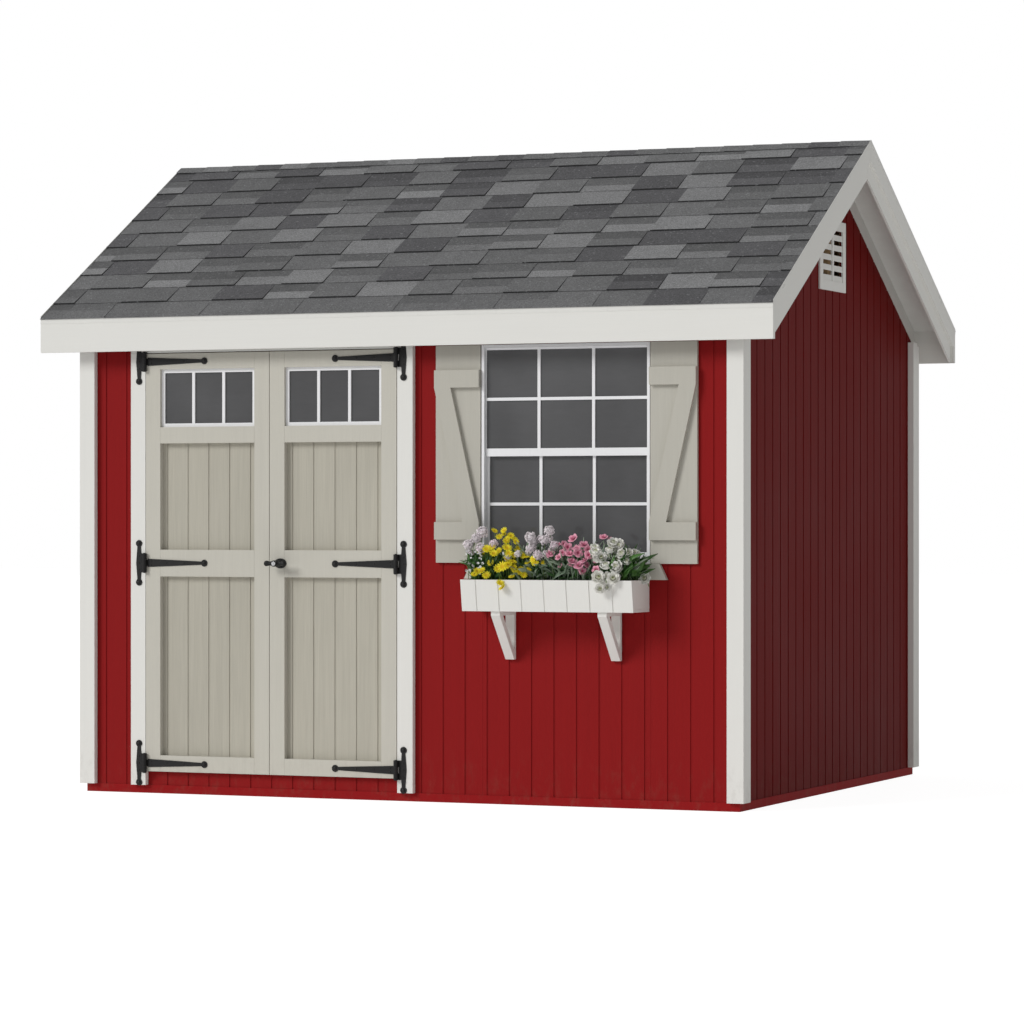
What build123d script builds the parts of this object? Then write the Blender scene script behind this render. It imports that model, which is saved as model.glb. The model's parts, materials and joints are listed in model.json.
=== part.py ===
from build123d import *
from math import atan, ceil, cos, floor
import os

# Garden shed, millimetres.  Origin on the ground at the centre of the footprint.
# +Z up, +X to the right along the front wall, the doors face -Y.

# ---- overall sizes ----------------------------------------------------------
width = 3048.0            # across the front, face to face of the siding
depth = 2438.0            # front to back, face to face of the siding
wall_height = 1953.0      # deck to the top of the wall plates
pitch = 7 / 12            # roof rise over run
eave_reach = 104.0        # siding to the outer face of a fascia board
gable_reach = 181.0       # siding to the outer face of a rake board
saw_gap = 0.5             # gap left between two boards of one node
run_gap = 3.0             # gap round a door leaf

# ---- lumber and sheet stock -------------------------------------------------
stud_w = 38.0
stud_d = 89.0
bay_max = 338.0           # widest clear space between studs, joists or rafters
deck_t = 16.0
siding_t = 11.0
groove_pitch = 101.6
groove_w = 9.5
groove_depth = 3.0
front_groove = 94.8       # first groove from the left end of the front wall
side_groove = 218.0       # first groove from the front end of a side wall
skirt_h = 36.0
skirt_t = 14.0
trim_t = 27.0
corner_front_w = 73.0
corner_side_w = 89.0

# ---- roof -------------------------------------------------------------------
rafter_seat = 37.0
sheathing_t = 11.0
shingle_base_t = 4.0
shingle_butt_t = 4.5
exposure = 137.0
ridge_board_t = 19.0
ridge_slot = 2.0
collar_h = 64.0
collar_drop = 330.0       # ridge to the top of a collar tie
shingle_lip = 5.0
fascia_t = 25.0
fascia_h = 148.0
rake_t = 25.0
rake_band_t = 15.0
rake_face = 160.0         # plumb height of a rake board
rake_band = 84.0          # plumb height of the moulding on it
cap_t = 5.0
cap_wing = 60.0
cap_length = 140.0
drip_t = 1.2
drip_drop = 22.0
drip_face = 12.0          # drop of the metal edge on a rake board

# ---- gable vent -------------------------------------------------------------
vent_w = 364.0
vent_h = 310.0
vent_sill = 2207.0
vent_face = 42.0
vent_proud = 8.0
louvre_pitch = 45.0
louvre_t = 6.0
louvre_cover = 0.45       # share of a louvre bay that the slat covers

# ---- double door ------------------------------------------------------------
door_centre = -616.0
door_opening = 1214.0
door_bottom = 97.0
door_height = 1829.0
door_proud = 1.0          # door face in front of the casing
casing_w = 72.0
stile_w = 71.0
mid_rail_bottom = 951.0
mid_rail_h = 117.0
light_bottom = 1604.0
light_top = 1857.0
backing_t = 38.0
backing_w = 70.0
backing_inset = 15.0
light_frame_w = 16.0
light_frame_t = 16.0
light_recess = 14.0
muntin_w = 13.0
glass_t = 3.0
threshold_t = 3.0

# ---- hinges and latches -----------------------------------------------------
hinge_heights = (133.0, 1010.0, 1891.0)
hinge_plate_t = 3.0
barrel_r = 10.0
barrel_h = 83.0
barrel_off = 0.3          # barrel clear of the door's face
web_clear = 1.0           # jamb leaf clear of the barrel
strap_start = 2.0         # strap clear of the barrel
pin_r = 4.0
pin_clear = 0.08
knuckle_gap = 0.5
pin_head_r = 6.0
pin_head_t = 2.0
pin_head_gap = 0.3        # head clear of the knuckle
jamb_leaf_h = 170.0       # between the centres of its two ball ends
jamb_leaf_x = 32.0        # hinge axis to the middle of the jamb leaf
jamb_leaf_w = 28.0
jamb_neck_w = 14.0
ball_r = 15.0
strap_len = 290.0
strap_root_w = 36.0
strap_tip_w = 13.0
handle_x = -562.0
handle_z = 1011.0
handle_bar = 108.0
handle_proud = 48.0
spindle_r = 6.0
spindle_clear = 1.0
key_r = 9.0
key_clear = 0.3
plate_w = 57.0
plate_h = 43.0
plate_t = 4.0
cam_length = 95.0
cam_w = 22.0
cam_t = 4.0
bar_r = 12.0              # T-bar's nominal radius
key_boss = 4.0            # metal left round the key plug
key_slot_w = 2.4
key_slot_depth = 3.0
bolt_x = -660.0
bolt_r = 5.0
bolt_length = 120.0
bolt_clear = 0.4
bolt_off = 10.0           # bolt axis behind the backing
bolt_throw = 35.0
bolt_hole_clear = 1.0
guide_h = 16.0
guide_wall = 6.0
guide_near = 20.0         # bolt tip to the middle of the first guide
guide_far = 54.0          # bolt tip to the middle of the second guide
knob_inset = 12.0         # bolt tail to the middle of its knob
knob_r = 7.0
knob_stem_r = 3.0
knob_stem = 20.0          # bolt's surface to the middle of its knob

# ---- window -----------------------------------------------------------------
window_x = 755.5
window_w = 759.0
window_sill = 1017.0
window_h = 920.0
frame_face = 12.0
frame_proud = 12.0
frame_depth = 60.0
sash_t = 14.0
sash_gap = 1.5
sash_stile = 11.0
upper_stile = 3.0
upper_rail = 9.0
meeting_rail = 33.0
lower_rail = 35.0
meeting_z = 1467.0
upper_setback = 2.0
lift_w = 120.0            # finger lift on the lower sash
lift_reach = 14.0
lift_t = 6.0

# ---- shutters, sill board and flower box ------------------------------------
shutter_w = 206.0
shutter_gap = 4.0
shutter_t = 15.0
batten_t = 19.0
batten_h = 74.0
batten_low = 98.0         # shutter foot to the lower batten
batten_high = 741.0       # shutter foot to the upper batten
brace_w = 75.0
sill_board_t = 22.0
sill_board_low_w = 914.0
sill_board_top_w = 850.0
box_w = 766.0
box_groove = 71.0         # first groove from the left end of the flower box
box_off = 10.0            # box centre left of the window's centre
box_top = 950.0
box_bottom = 818.0
box_top_reach = 207.0
box_low_reach = 186.0
board_t = 12.0
bracket_t = 40.0
bracket_span = 478.0
bracket_leg = 206.0
bracket_bar = 18.0
bracket_off = 8.0         # brackets' middle left of the window's centre
soil_drop = 22.0
plant_gap = 4.0
plant_shape = ((0, 0.75), (0.45, 1.0), (0.85, 0.8), (1, 0.4))  # share of the height, share of the radius

# ---- worked out from the sizes above ----------------------------------------
half_w = width / 2
half_d = depth / 2
frame_x = half_w - siding_t
frame_y = half_d - siding_t
deck_top = stud_d + deck_t
plate_top = deck_top + wall_height
plumb = 1 / cos(atan(pitch))
heel_y = frame_y - rafter_seat
eave_y = half_d + eave_reach
gable_x = half_w + gable_reach
door_left = door_centre - door_opening / 2
door_right = door_centre + door_opening / 2
door_top = door_bottom + door_height
leaf_w = (door_opening - 3 * run_gap) / 2
door_face = -(half_d + trim_t + door_proud)
panel_front = -(half_d + door_proud)
panel_back = panel_front + siding_t
backing_back = panel_back + backing_t
pin_y = door_face - barrel_r - barrel_off
pin_x_left = door_left + run_gap / 2
pin_x_right = door_right - run_gap / 2
header_bottom = door_top + run_gap * 3
window_left = window_x - window_w / 2
window_right = window_x + window_w / 2
window_top = window_sill + window_h
sill_board_foot = box_top + saw_gap
vent_top = vent_sill + vent_h
vent_low = vent_sill + vent_face
vent_high = vent_top - vent_face


def rafter_low(y):
    """Height of the underside of a rafter at a distance y from the ridge plane."""
    return plate_top + pitch * (heel_y - abs(y))


def layer(y, thickness):
    """Height of a roof layer that stands a thickness above the rafters' underside."""
    return rafter_low(y) + thickness * plumb


rafter_layer = stud_d
deck_layer = rafter_layer + sheathing_t
felt_layer = deck_layer + shingle_base_t
roof_layer = felt_layer + shingle_butt_t
siding_top = rafter_low(half_d)


def block(x0, x1, y0, y1, z0, z1, mode=Mode.ADD):
    """A square-cut board between two opposite corners."""
    with Locations(((x0 + x1) / 2, (y0 + y1) / 2, (z0 + z1) / 2)):
        Box(x1 - x0, y1 - y0, z1 - z0, mode=mode)


def outline(plane, *points):
    """A closed profile with straight sides, on a plane."""
    with BuildSketch(plane) as profile:
        with BuildLine():
            Polyline(*points, close=True)
        make_face()
    return profile.sketch


def spread(start, end, member):
    """Centres of the fewest members that leave no bay wider than bay_max, one of them in the middle."""
    first = start + member / 2
    last = end - member / 2
    pairs = max(1, ceil((last - first) / (bay_max + member) / 2))
    return [first + (last - first) * i / (2 * pairs) for i in range(2 * pairs + 1)]


def grooves(start, end, first):
    """Places of the siding grooves that fall between start and end."""
    steps = range(floor((start - first) / groove_pitch), floor((end - first) / groove_pitch) + 2)
    places = [first + groove_pitch * i for i in steps]
    return [p for p in places if start + groove_w < p < end - groove_w]


def save(builder, name):
    """Label one finished piece and write it to its own file."""
    builder.part.label = name
    export_step(builder.part, f"parts/{name}.step")


os.makedirs("parts", exist_ok=True)


# ---- floor ------------------------------------------------------------------
joist_y = frame_y - stud_w - saw_gap
with BuildPart() as floor_frame:
    for x in spread(-frame_x, frame_x, stud_w):
        block(x - stud_w / 2, x + stud_w / 2, -joist_y, joist_y, 0, stud_d)
    for side in (-1, 1):
        rim = sorted((side * (joist_y + saw_gap), side * frame_y))
        block(-frame_x, frame_x, rim[0], rim[1], 0, stud_d)
save(floor_frame, "floor_frame")

bolt_y = backing_back + bolt_off


def slotted_board(x0, x1, y0, y1, z0, z1):
    """A board in four pieces that leave a square hole where a bolt goes in."""
    side = bolt_r + bolt_hole_clear
    key = side - saw_gap
    block(x0, bolt_x - side, y0, y1, z0, z1)
    block(bolt_x + side, x1, y0, y1, z0, z1)
    block(bolt_x - key, bolt_x + key, y0, bolt_y - side, z0, z1)
    block(bolt_x - key, bolt_x + key, bolt_y + side, y1, z0, z1)


with BuildPart() as floor_deck:
    slotted_board(-frame_x, frame_x, -frame_y, frame_y, stud_d, deck_top)
save(floor_deck, "floor_deck")

skirt_x = frame_x + skirt_t
skirt_y = frame_y + skirt_t
with BuildPart() as base_skirt:
    for side in (-1, 1):
        across = sorted((side * frame_y, side * skirt_y))
        along = sorted((side * frame_x, side * skirt_x))
        block(-skirt_x, skirt_x, across[0], across[1], 0, skirt_h)
        block(along[0], along[1], -frame_y + saw_gap, frame_y - saw_gap, 0, skirt_h)
save(base_skirt, "base_skirt")

with BuildPart() as threshold:
    sill_x = (door_left + saw_gap, door_right - saw_gap)
    slotted_board(sill_x[0], sill_x[1], -frame_y, -frame_y + stud_d, deck_top, deck_top + threshold_t)
save(threshold, "threshold")


# ---- wall frames ------------------------------------------------------------
inner_x = frame_x - stud_d
inner_y = frame_y - stud_d
lower_plate = deck_top + stud_w
tie_plate = plate_top - stud_w
upper_plate = tie_plate - stud_w

with BuildPart() as wall_plates:
    for side in (-1, 1):
        across = sorted((side * inner_y, side * frame_y))
        along = sorted((side * inner_x, side * frame_x))
        block(-frame_x, frame_x, across[0], across[1], upper_plate, tie_plate - saw_gap)
        block(-frame_x, frame_x, across[0], across[1], tie_plate, plate_top)
        block(along[0], along[1], -inner_y + saw_gap, inner_y - saw_gap, deck_top, lower_plate)
        block(along[0], along[1], -inner_y + saw_gap, inner_y - saw_gap, upper_plate, tie_plate - saw_gap)
        block(along[0], along[1], -inner_y + saw_gap, inner_y - saw_gap, tie_plate, plate_top)
    block(-frame_x, frame_x, inner_y, frame_y, deck_top, lower_plate)
    block(-frame_x, door_left, -frame_y, -inner_y, deck_top, lower_plate)
    block(door_right, frame_x, -frame_y, -inner_y, deck_top, lower_plate)
save(wall_plates, "wall_plates")

rear_studs = spread(-frame_x, frame_x, stud_w)
side_studs = spread(-inner_y + saw_gap, inner_y - saw_gap, stud_w)
openings = ((door_left, door_right), (window_left, window_right))
front_studs = [-frame_x + stud_w / 2, frame_x - stud_w / 2]
for left, right in openings:
    front_studs += [left - stud_w / 2, right + stud_w / 2]
with BuildPart() as wall_studs:
    for x in front_studs:
        block(x - stud_w / 2, x + stud_w / 2, -frame_y, -inner_y, lower_plate, upper_plate)
    for x in rear_studs:
        block(x - stud_w / 2, x + stud_w / 2, inner_y, frame_y, lower_plate, upper_plate)
    for y in side_studs:
        for side in (-1, 1):
            along = sorted((side * inner_x, side * frame_x))
            block(along[0], along[1], y - stud_w / 2, y + stud_w / 2, lower_plate, upper_plate)
    for y in side_studs[1:-1]:
        near = y - stud_w / 2
        far = y + stud_w / 2
        roof_line = [(far, rafter_low(far)), (near, rafter_low(near))]
        if near < 0 < far:
            roof_line.insert(1, (0, rafter_low(0)))
        for start in (-frame_x, inner_x):
            extrude(outline(Plane.YZ.offset(start), (near, plate_top), (far, plate_top), *roof_line), stud_d)
save(wall_studs, "wall_studs")

sill_plate = window_sill - stud_w
cripple_step = window_w / 2 - stud_w / 2
with BuildPart() as opening_frames:
    slotted_board(door_left, door_right, -frame_y, -inner_y, header_bottom, upper_plate)
    block(window_left, window_right, -frame_y, -inner_y, window_top, upper_plate)
    block(window_left, window_right, -frame_y, -inner_y, sill_plate, window_sill)
    for step in (-1, 0, 1):
        x = window_x + step * cripple_step
        block(x - stud_w / 2, x + stud_w / 2, -frame_y, -inner_y, lower_plate, sill_plate - saw_gap)
save(opening_frames, "opening_frames")


# ---- siding -----------------------------------------------------------------
def grooved_face(x0, x1, z0, z1, front, thickness, places):
    """A board facing -Y with grooves cut in its front."""
    block(x0, x1, front, front + thickness, z0, z1)
    for x in places:
        if x0 + groove_w < x < x1 - groove_w:
            cut_front = (front - 1, front + groove_depth)
            block(x - groove_w / 2, x + groove_w / 2, cut_front[0], cut_front[1], z0, z1, Mode.SUBTRACT)


front_lines = grooves(-half_w, half_w, -half_w + front_groove)
front_panels = (
    (-half_w, door_left, skirt_h, siding_top),
    (door_left + saw_gap, door_right - saw_gap, skirt_h, door_bottom - run_gap),
    (door_left + saw_gap, door_right - saw_gap, door_top + run_gap, siding_top),
    (door_right, window_left, skirt_h, siding_top),
    (window_left + saw_gap, window_right - saw_gap, skirt_h, window_sill),
    (window_left + saw_gap, window_right - saw_gap, window_top, siding_top),
    (window_right, half_w, skirt_h, siding_top),
)
with BuildPart() as siding_front:
    for x0, x1, z0, z1 in front_panels:
        grooved_face(x0, x1, z0, z1, -half_d, siding_t, front_lines)
save(siding_front, "siding_front")

with BuildPart() as siding_rear:
    block(-half_w, half_w, frame_y, half_d, skirt_h, siding_top)
    groove_foot = half_d - groove_depth
    for x in front_lines:
        block(x - groove_w / 2, x + groove_w / 2, groove_foot, half_d + 1, 0, plate_top, Mode.SUBTRACT)
save(siding_rear, "siding_rear")

side_end = frame_y - saw_gap / 2
vent_hole_w = vent_w - 2 * vent_face + 2 * saw_gap
with BuildPart() as siding_gables:
    eave_top = rafter_low(side_end)
    peak = rafter_low(0)
    gable = outline(
        Plane.YZ.offset(frame_x),
        (-side_end, skirt_h), (side_end, skirt_h), (side_end, eave_top), (0, peak), (-side_end, eave_top))
    extrude(gable, siding_t)
    for y in grooves(-side_end, side_end, -half_d + side_groove):
        block(half_w - groove_depth, half_w + 1, y - groove_w / 2, y + groove_w / 2, 0, peak, Mode.SUBTRACT)
    block(frame_x - 1, half_w + 1, -vent_hole_w / 2, vent_hole_w / 2, vent_low, vent_high, Mode.SUBTRACT)
    mirror(about=Plane.YZ)
save(siding_gables, "siding_gables")

with BuildPart() as corner_boards:
    for side_x in (-1, 1):
        for side_y in (-1, 1):
            face_x = sorted((side_x * (half_w + trim_t), side_x * (half_w + trim_t - corner_front_w)))
            face_y = sorted((side_y * half_d, side_y * (half_d + trim_t)))
            block(face_x[0], face_x[1], face_y[0], face_y[1], skirt_h, siding_top - pitch * trim_t)
            edge_x = sorted((side_x * half_w, side_x * (half_w + trim_t)))
            edge_y = sorted((side_y * (half_d - saw_gap), side_y * (half_d + trim_t - corner_side_w)))
            block(edge_x[0], edge_x[1], edge_y[0], edge_y[1], skirt_h, siding_top)
save(corner_boards, "corner_boards")


# ---- roof -------------------------------------------------------------------
tail_y = eave_y - fascia_t
ridge_half = ridge_board_t / 2
rafter_places = spread(-frame_x, frame_x, stud_w)


def slope_slab(y0, y1, low, high, x0, x1):
    """A slab that lies between two roof layers from y0 to y1 on the front slope."""
    section = outline(
        Plane.YZ.offset(x0),
        (-y0, layer(y0, low)), (-y1, layer(y1, low)), (-y1, layer(y1, high)), (-y0, layer(y0, high)))
    extrude(section, x1 - x0)


with BuildPart() as rafters:
    for x in rafter_places:
        side_view = outline(
            Plane.YZ.offset(x - stud_w / 2),
            (-ridge_half, rafter_low(ridge_half)), (-ridge_half, layer(ridge_half, rafter_layer)),
            (-tail_y, layer(tail_y, rafter_layer)), (-tail_y, rafter_low(tail_y)),
            (-frame_y, rafter_low(frame_y)), (-frame_y, plate_top), (-heel_y, plate_top))
        extrude(side_view, stud_w)
    mirror(about=Plane.XZ)
save(rafters, "rafters")

ridge_top = layer(ridge_half, rafter_layer)
with BuildPart() as ridge_board:
    block(-gable_x + rake_t, gable_x - rake_t, -ridge_half, ridge_half, rafter_low(0), ridge_top)
save(ridge_board, "ridge_board")

collar_top = ridge_top - collar_drop
collar_y = heel_y - (collar_top - plate_top) / pitch + stud_d * plumb / pitch - 2 * stud_w
with BuildPart() as collar_ties:
    for x in rafter_places[1:-1]:
        block(x + stud_w / 2, x + stud_w, -collar_y, collar_y, collar_top - collar_h, collar_top)
save(collar_ties, "collar_ties")

with BuildPart() as roof_sheathing:
    slope_slab(ridge_slot, tail_y, rafter_layer, deck_layer, -gable_x + rake_t, gable_x - rake_t)
    mirror(about=Plane.XZ)
save(roof_sheathing, "roof_sheathing")

with BuildPart() as shingles:
    eave_end = eave_y + shingle_lip
    courses = round((eave_end * plumb) / exposure)
    step_y = (eave_end - ridge_slot) / courses
    teeth = []
    for i in range(courses):
        butt = eave_end - i * step_y
        head = butt - step_y
        teeth += [(-butt, layer(butt, roof_layer)), (-head, layer(head, felt_layer))]
    section = outline(
        Plane.YZ.offset(-gable_x),
        (-ridge_slot, layer(ridge_slot, deck_layer)), (-eave_end, layer(eave_end, deck_layer)), *teeth)
    extrude(section, 2 * gable_x)
    mirror(about=Plane.XZ)
save(shingles, "shingles")

cap_span = 2 * gable_x
cap_count = round(cap_span / cap_length)
cap_step = cap_span / cap_count
cap_low = roof_layer + saw_gap
cap_high = cap_low + cap_t
wing_y = cap_wing / plumb
with BuildPart() as ridge_caps:
    for i in range(cap_count):
        start = -cap_span / 2 + i * cap_step
        section = outline(
            Plane.YZ.offset(start),
            (0, layer(0, cap_low)), (-wing_y, layer(wing_y, cap_low)), (-wing_y, layer(wing_y, cap_high)),
            (0, layer(0, cap_high)), (wing_y, layer(wing_y, cap_high)), (wing_y, layer(wing_y, cap_low)))
        extrude(section, cap_step - saw_gap)
save(ridge_caps, "ridge_caps")

fascia_top = layer(eave_y, deck_layer) - drip_t * plumb
with BuildPart() as fascia_boards:
    section = outline(
        Plane.YZ.offset(-gable_x),
        (-tail_y, fascia_top - fascia_h), (-eave_y, fascia_top - fascia_h),
        (-eave_y, fascia_top), (-tail_y, layer(tail_y, rafter_layer)))
    extrude(section, 2 * gable_x)
    mirror(about=Plane.XZ)
save(fascia_boards, "fascia_boards")

rake_top_layer = deck_layer - drip_t
rake_foot = fascia_top - fascia_h
rake_foot_y = tail_y - saw_gap
rake_low_y = heel_y + (plate_top - rake_foot + (stud_d + sheathing_t) * plumb - rake_face) / pitch


def rake_profile(start, face_height, foot_cut):
    """Outline of a board that follows the front slope of a gable."""
    top_mid = layer(0, rake_top_layer)
    points = [
        (-saw_gap, top_mid - pitch * saw_gap - face_height), (-saw_gap, top_mid - pitch * saw_gap),
        (-rake_foot_y, top_mid - pitch * rake_foot_y)]
    if foot_cut:
        points += [(-rake_foot_y, rake_foot), (-rake_low_y, rake_foot)]
    else:
        points += [(-rake_foot_y, top_mid - pitch * rake_foot_y - face_height)]
    return outline(Plane.YZ.offset(start), *points)


with BuildPart() as rake_boards:
    extrude(rake_profile(gable_x - rake_t, rake_face, rake_low_y < rake_foot_y), rake_t - rake_band_t)
    mirror(about=Plane.XZ)
    mirror(about=Plane.YZ)
save(rake_boards, "rake_boards")

with BuildPart() as rake_mouldings:
    extrude(rake_profile(gable_x - rake_band_t, rake_band, False), rake_band_t)
    mirror(about=Plane.XZ)
    mirror(about=Plane.YZ)
save(rake_mouldings, "rake_mouldings")

with BuildPart() as drip_edges:
    out_y = eave_y + drip_t
    drip_low = layer(out_y, deck_layer) - drip_drop
    section = outline(
        Plane.YZ.offset(-gable_x),
        (-eave_y, drip_low), (-out_y, drip_low), (-out_y, layer(out_y, deck_layer)),
        (-eave_y, layer(eave_y, deck_layer)))
    extrude(section, 2 * gable_x)
    edge_y = (saw_gap, eave_y - saw_gap)
    for start in (gable_x, -gable_x - drip_t):
        edge = outline(
            Plane.YZ.offset(start),
            (-edge_y[0], layer(edge_y[0], deck_layer) - drip_face),
            (-edge_y[0], layer(edge_y[0], roof_layer)),
            (-edge_y[1], layer(edge_y[1], roof_layer)),
            (-edge_y[1], layer(edge_y[1], deck_layer) - drip_face))
        extrude(edge, drip_t)
    mirror(about=Plane.XZ)
save(drip_edges, "drip_edges")


# ---- gable vents ------------------------------------------------------------
vent_hole = vent_w - 2 * vent_face
vent_out = half_w + vent_proud
with BuildPart() as vent_frames:
    block(half_w, vent_out, -vent_w / 2, vent_w / 2, vent_sill, vent_top)
    for side in (-1, 1):
        bay = sorted((side * vent_face / 4, side * vent_hole / 2))
        block(half_w - 1, vent_out + 1, bay[0], bay[1], vent_low, vent_high, Mode.SUBTRACT)
    mirror(about=Plane.YZ)
save(vent_frames, "vent_frames")

with BuildPart() as vent_louvres:
    slat_count = floor((vent_high - vent_low) / louvre_pitch)
    slat_step = (vent_high - vent_low) / slat_count
    slat_rise = louvre_cover * slat_step
    slat_front = vent_out - louvre_t / 2
    slat_back = half_w + louvre_t / 2
    for side in (-1, 1):
        bay = sorted((side * (vent_face / 4 + saw_gap), side * (vent_hole / 2 - saw_gap)))
        for i in range(slat_count):
            slat_low = vent_low + i * slat_step + saw_gap
            slat = outline(
                Plane.XZ.offset(-bay[1]),
                (slat_front, slat_low), (slat_front, slat_low + louvre_t),
                (slat_back, slat_low + slat_rise + louvre_t), (slat_back, slat_low + slat_rise))
            extrude(slat, bay[1] - bay[0])
    mirror(about=Plane.YZ)
save(vent_louvres, "vent_louvres")


# ---- door surround and leaves -----------------------------------------------
with BuildPart() as door_casing:
    casing_top = door_top + run_gap
    block(door_left - casing_w, door_left, -half_d - trim_t, -half_d, skirt_h, casing_top)
    block(door_right, door_right + casing_w, -half_d - trim_t, -half_d, skirt_h, casing_top)
    head = (door_left - casing_w, door_right + casing_w)
    block(head[0], head[1], -half_d - trim_t, -half_d, casing_top + saw_gap, siding_top - pitch * trim_t)
save(door_casing, "door_casing")

cut_through = trim_t + siding_t + backing_t + 2


def ring(x0, x1, z0, z1, front, thickness, stile, rails):
    """Two stiles with rails between them, all square-cut and just clear of each other."""
    block(x0, x0 + stile, front, front + thickness, z0, z1)
    block(x1 - stile, x1, front, front + thickness, z0, z1)
    for low, high in rails:
        block(x0 + stile + saw_gap, x1 - stile - saw_gap, front, front + thickness, low, high)


def lock_hole(radius):
    """Hole for the lock's spindle, through everything at the handle."""
    with Locations(Location((handle_x, panel_front, handle_z), (90, 0, 0))):
        Cylinder(radius, 2 * cut_through, mode=Mode.SUBTRACT)


def light_panes(x0, x1, z0, z1, front, across, up, glass):
    """Frame with muntins, or the panes that fill it, for a light between two corners."""
    inner = (x0 + light_frame_w, x1 - light_frame_w, z0 + light_frame_w, z1 - light_frame_w)
    pane_w = (inner[1] - inner[0] - (across - 1) * muntin_w) / across
    pane_h = (inner[3] - inner[2] - (up - 1) * muntin_w) / up
    centres = [
        (inner[0] + pane_w * (i + 0.5) + muntin_w * i, inner[2] + pane_h * (j + 0.5) + muntin_w * j)
        for i in range(across) for j in range(up)]
    middle = front + light_frame_t / 2
    if glass:
        with Locations(*[(x, middle, z) for x, z in centres]):
            Box(pane_w, glass_t, pane_h)
    else:
        block(x0, x1, front, front + light_frame_t, z0, z1)
        with Locations(*[(x, middle, z) for x, z in centres]):
            Box(pane_w, 2 * light_frame_t, pane_h, mode=Mode.SUBTRACT)


rails = (
    (door_bottom, door_bottom + stile_w), (mid_rail_bottom, mid_rail_bottom + mid_rail_h),
    (light_bottom - stile_w, light_bottom), (light_top, door_top))


def door_leaf(side, left, has_lock):
    """All the fixed pieces of one leaf, from its left edge."""
    right = left + leaf_w
    light = (left + stile_w, right - stile_w)
    glazing_front = door_face + light_recess
    with BuildPart() as frame:
        ring(left, right, door_bottom, door_top, door_face, trim_t, stile_w, rails)
        if has_lock:
            lock_hole(spindle_r + spindle_clear)
    save(frame, f"{side}_door_frame")
    with BuildPart() as panel:
        grooved_face(left, right, door_bottom, door_top, panel_front, siding_t, front_lines)
        block(light[0], light[1], panel_front - 1, panel_back + 1, light_bottom, light_top, Mode.SUBTRACT)
        if has_lock:
            lock_hole(spindle_r + spindle_clear)
    save(panel, f"{side}_door_panel")
    back = (left + backing_inset, right - backing_inset)
    back_low = deck_top + threshold_t + 2 * run_gap
    back_rails = (
        (back_low, back_low + backing_w), (mid_rail_bottom, mid_rail_bottom + backing_w),
        (light_bottom - backing_w, light_bottom), (light_top + saw_gap, door_top))
    with BuildPart() as backing:
        ring(back[0], back[1], back_low, door_top, panel_back, backing_t, backing_w, back_rails)
        if has_lock:
            lock_hole(spindle_r + spindle_clear)
    save(backing, f"{side}_door_backing")
    with BuildPart() as sash:
        light_panes(light[0], light[1], light_bottom, light_top, glazing_front, 3, 1, False)
    save(sash, f"{side}_door_light")
    with BuildPart() as glass:
        light_panes(light[0], light[1], light_bottom, light_top, glazing_front, 3, 1, True)
    save(glass, f"{side}_door_glass")


door_leaf("left", door_left + run_gap, False)
door_leaf("right", door_centre + run_gap / 2, True)


# ---- hinges -----------------------------------------------------------------
knuckle_h = (barrel_h - 2 * knuckle_gap) / 3
knuckle_offset = knuckle_h + knuckle_gap


def knuckle(x, z):
    """One rolled knuckle round the hinge pin."""
    with Locations((x, pin_y, z)):
        Cylinder(barrel_r, knuckle_h)
        Cylinder(pin_r + pin_clear, 2 * knuckle_h, mode=Mode.SUBTRACT)


def jamb_leaf(x, z, away):
    """The spindle-shaped leaf on the casing, with the upper and lower knuckles."""
    middle_x = x + away * jamb_leaf_x
    half_h = jamb_leaf_h / 2
    web_w = jamb_leaf_x - barrel_r - web_clear
    with BuildSketch(Plane.XZ.offset(half_d + trim_t)) as leaf:
        with BuildLine():
            Polyline(
                (middle_x - jamb_neck_w / 2, z - half_h), (middle_x + jamb_neck_w / 2, z - half_h),
                (middle_x + jamb_leaf_w / 2, z), (middle_x + jamb_neck_w / 2, z + half_h),
                (middle_x - jamb_neck_w / 2, z + half_h), (middle_x - jamb_leaf_w / 2, z), close=True)
        make_face()
        with Locations((middle_x, z - half_h), (middle_x, z + half_h)):
            Circle(ball_r)
        with Locations((middle_x - away * web_w / 2, z)):
            Rectangle(web_w, barrel_h)
        for step in (-1, 1):
            with Locations(((x + middle_x) / 2, z + step * knuckle_offset)):
                Rectangle(jamb_leaf_x, knuckle_h)
    extrude(leaf.sketch, hinge_plate_t)
    for step in (-1, 1):
        knuckle(x, z + step * knuckle_offset)


def hinge_strap(x, z, away):
    """The tapered strap on a leaf, with its ball end and the middle knuckle."""
    start = x + away * (barrel_r + strap_start)
    tip = x + away * strap_len
    with BuildSketch(Plane.XZ.offset(-door_face)) as strap:
        with BuildLine():
            Polyline(
                (start, z - strap_root_w / 2), (tip, z - strap_tip_w / 2),
                (tip, z + strap_tip_w / 2), (start, z + strap_root_w / 2), close=True)
        make_face()
        with Locations((tip, z)):
            Circle(ball_r)
        with Locations(((x + start) / 2 + away * strap_start / 2, z)):
            Rectangle(barrel_r + 2 * strap_start, knuckle_h)
    extrude(strap.sketch, hinge_plate_t)
    knuckle(x, z)


with BuildPart() as hinge_jamb_leaves:
    for z in hinge_heights:
        jamb_leaf(pin_x_left, z, -1)
        jamb_leaf(pin_x_right, z, 1)
save(hinge_jamb_leaves, "hinge_jamb_leaves")

with BuildPart() as hinge_pins:
    for z in hinge_heights:
        for x in (pin_x_left, pin_x_right):
            with Locations((x, pin_y, z)):
                Cylinder(pin_r, barrel_h + 2 * (pin_head_gap + pin_head_t))
            head_z = barrel_h / 2 + pin_head_gap + pin_head_t / 2
            with Locations((x, pin_y, z + head_z), (x, pin_y, z - head_z)):
                Cylinder(pin_head_r, pin_head_t)
save(hinge_pins, "hinge_pins")

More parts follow.
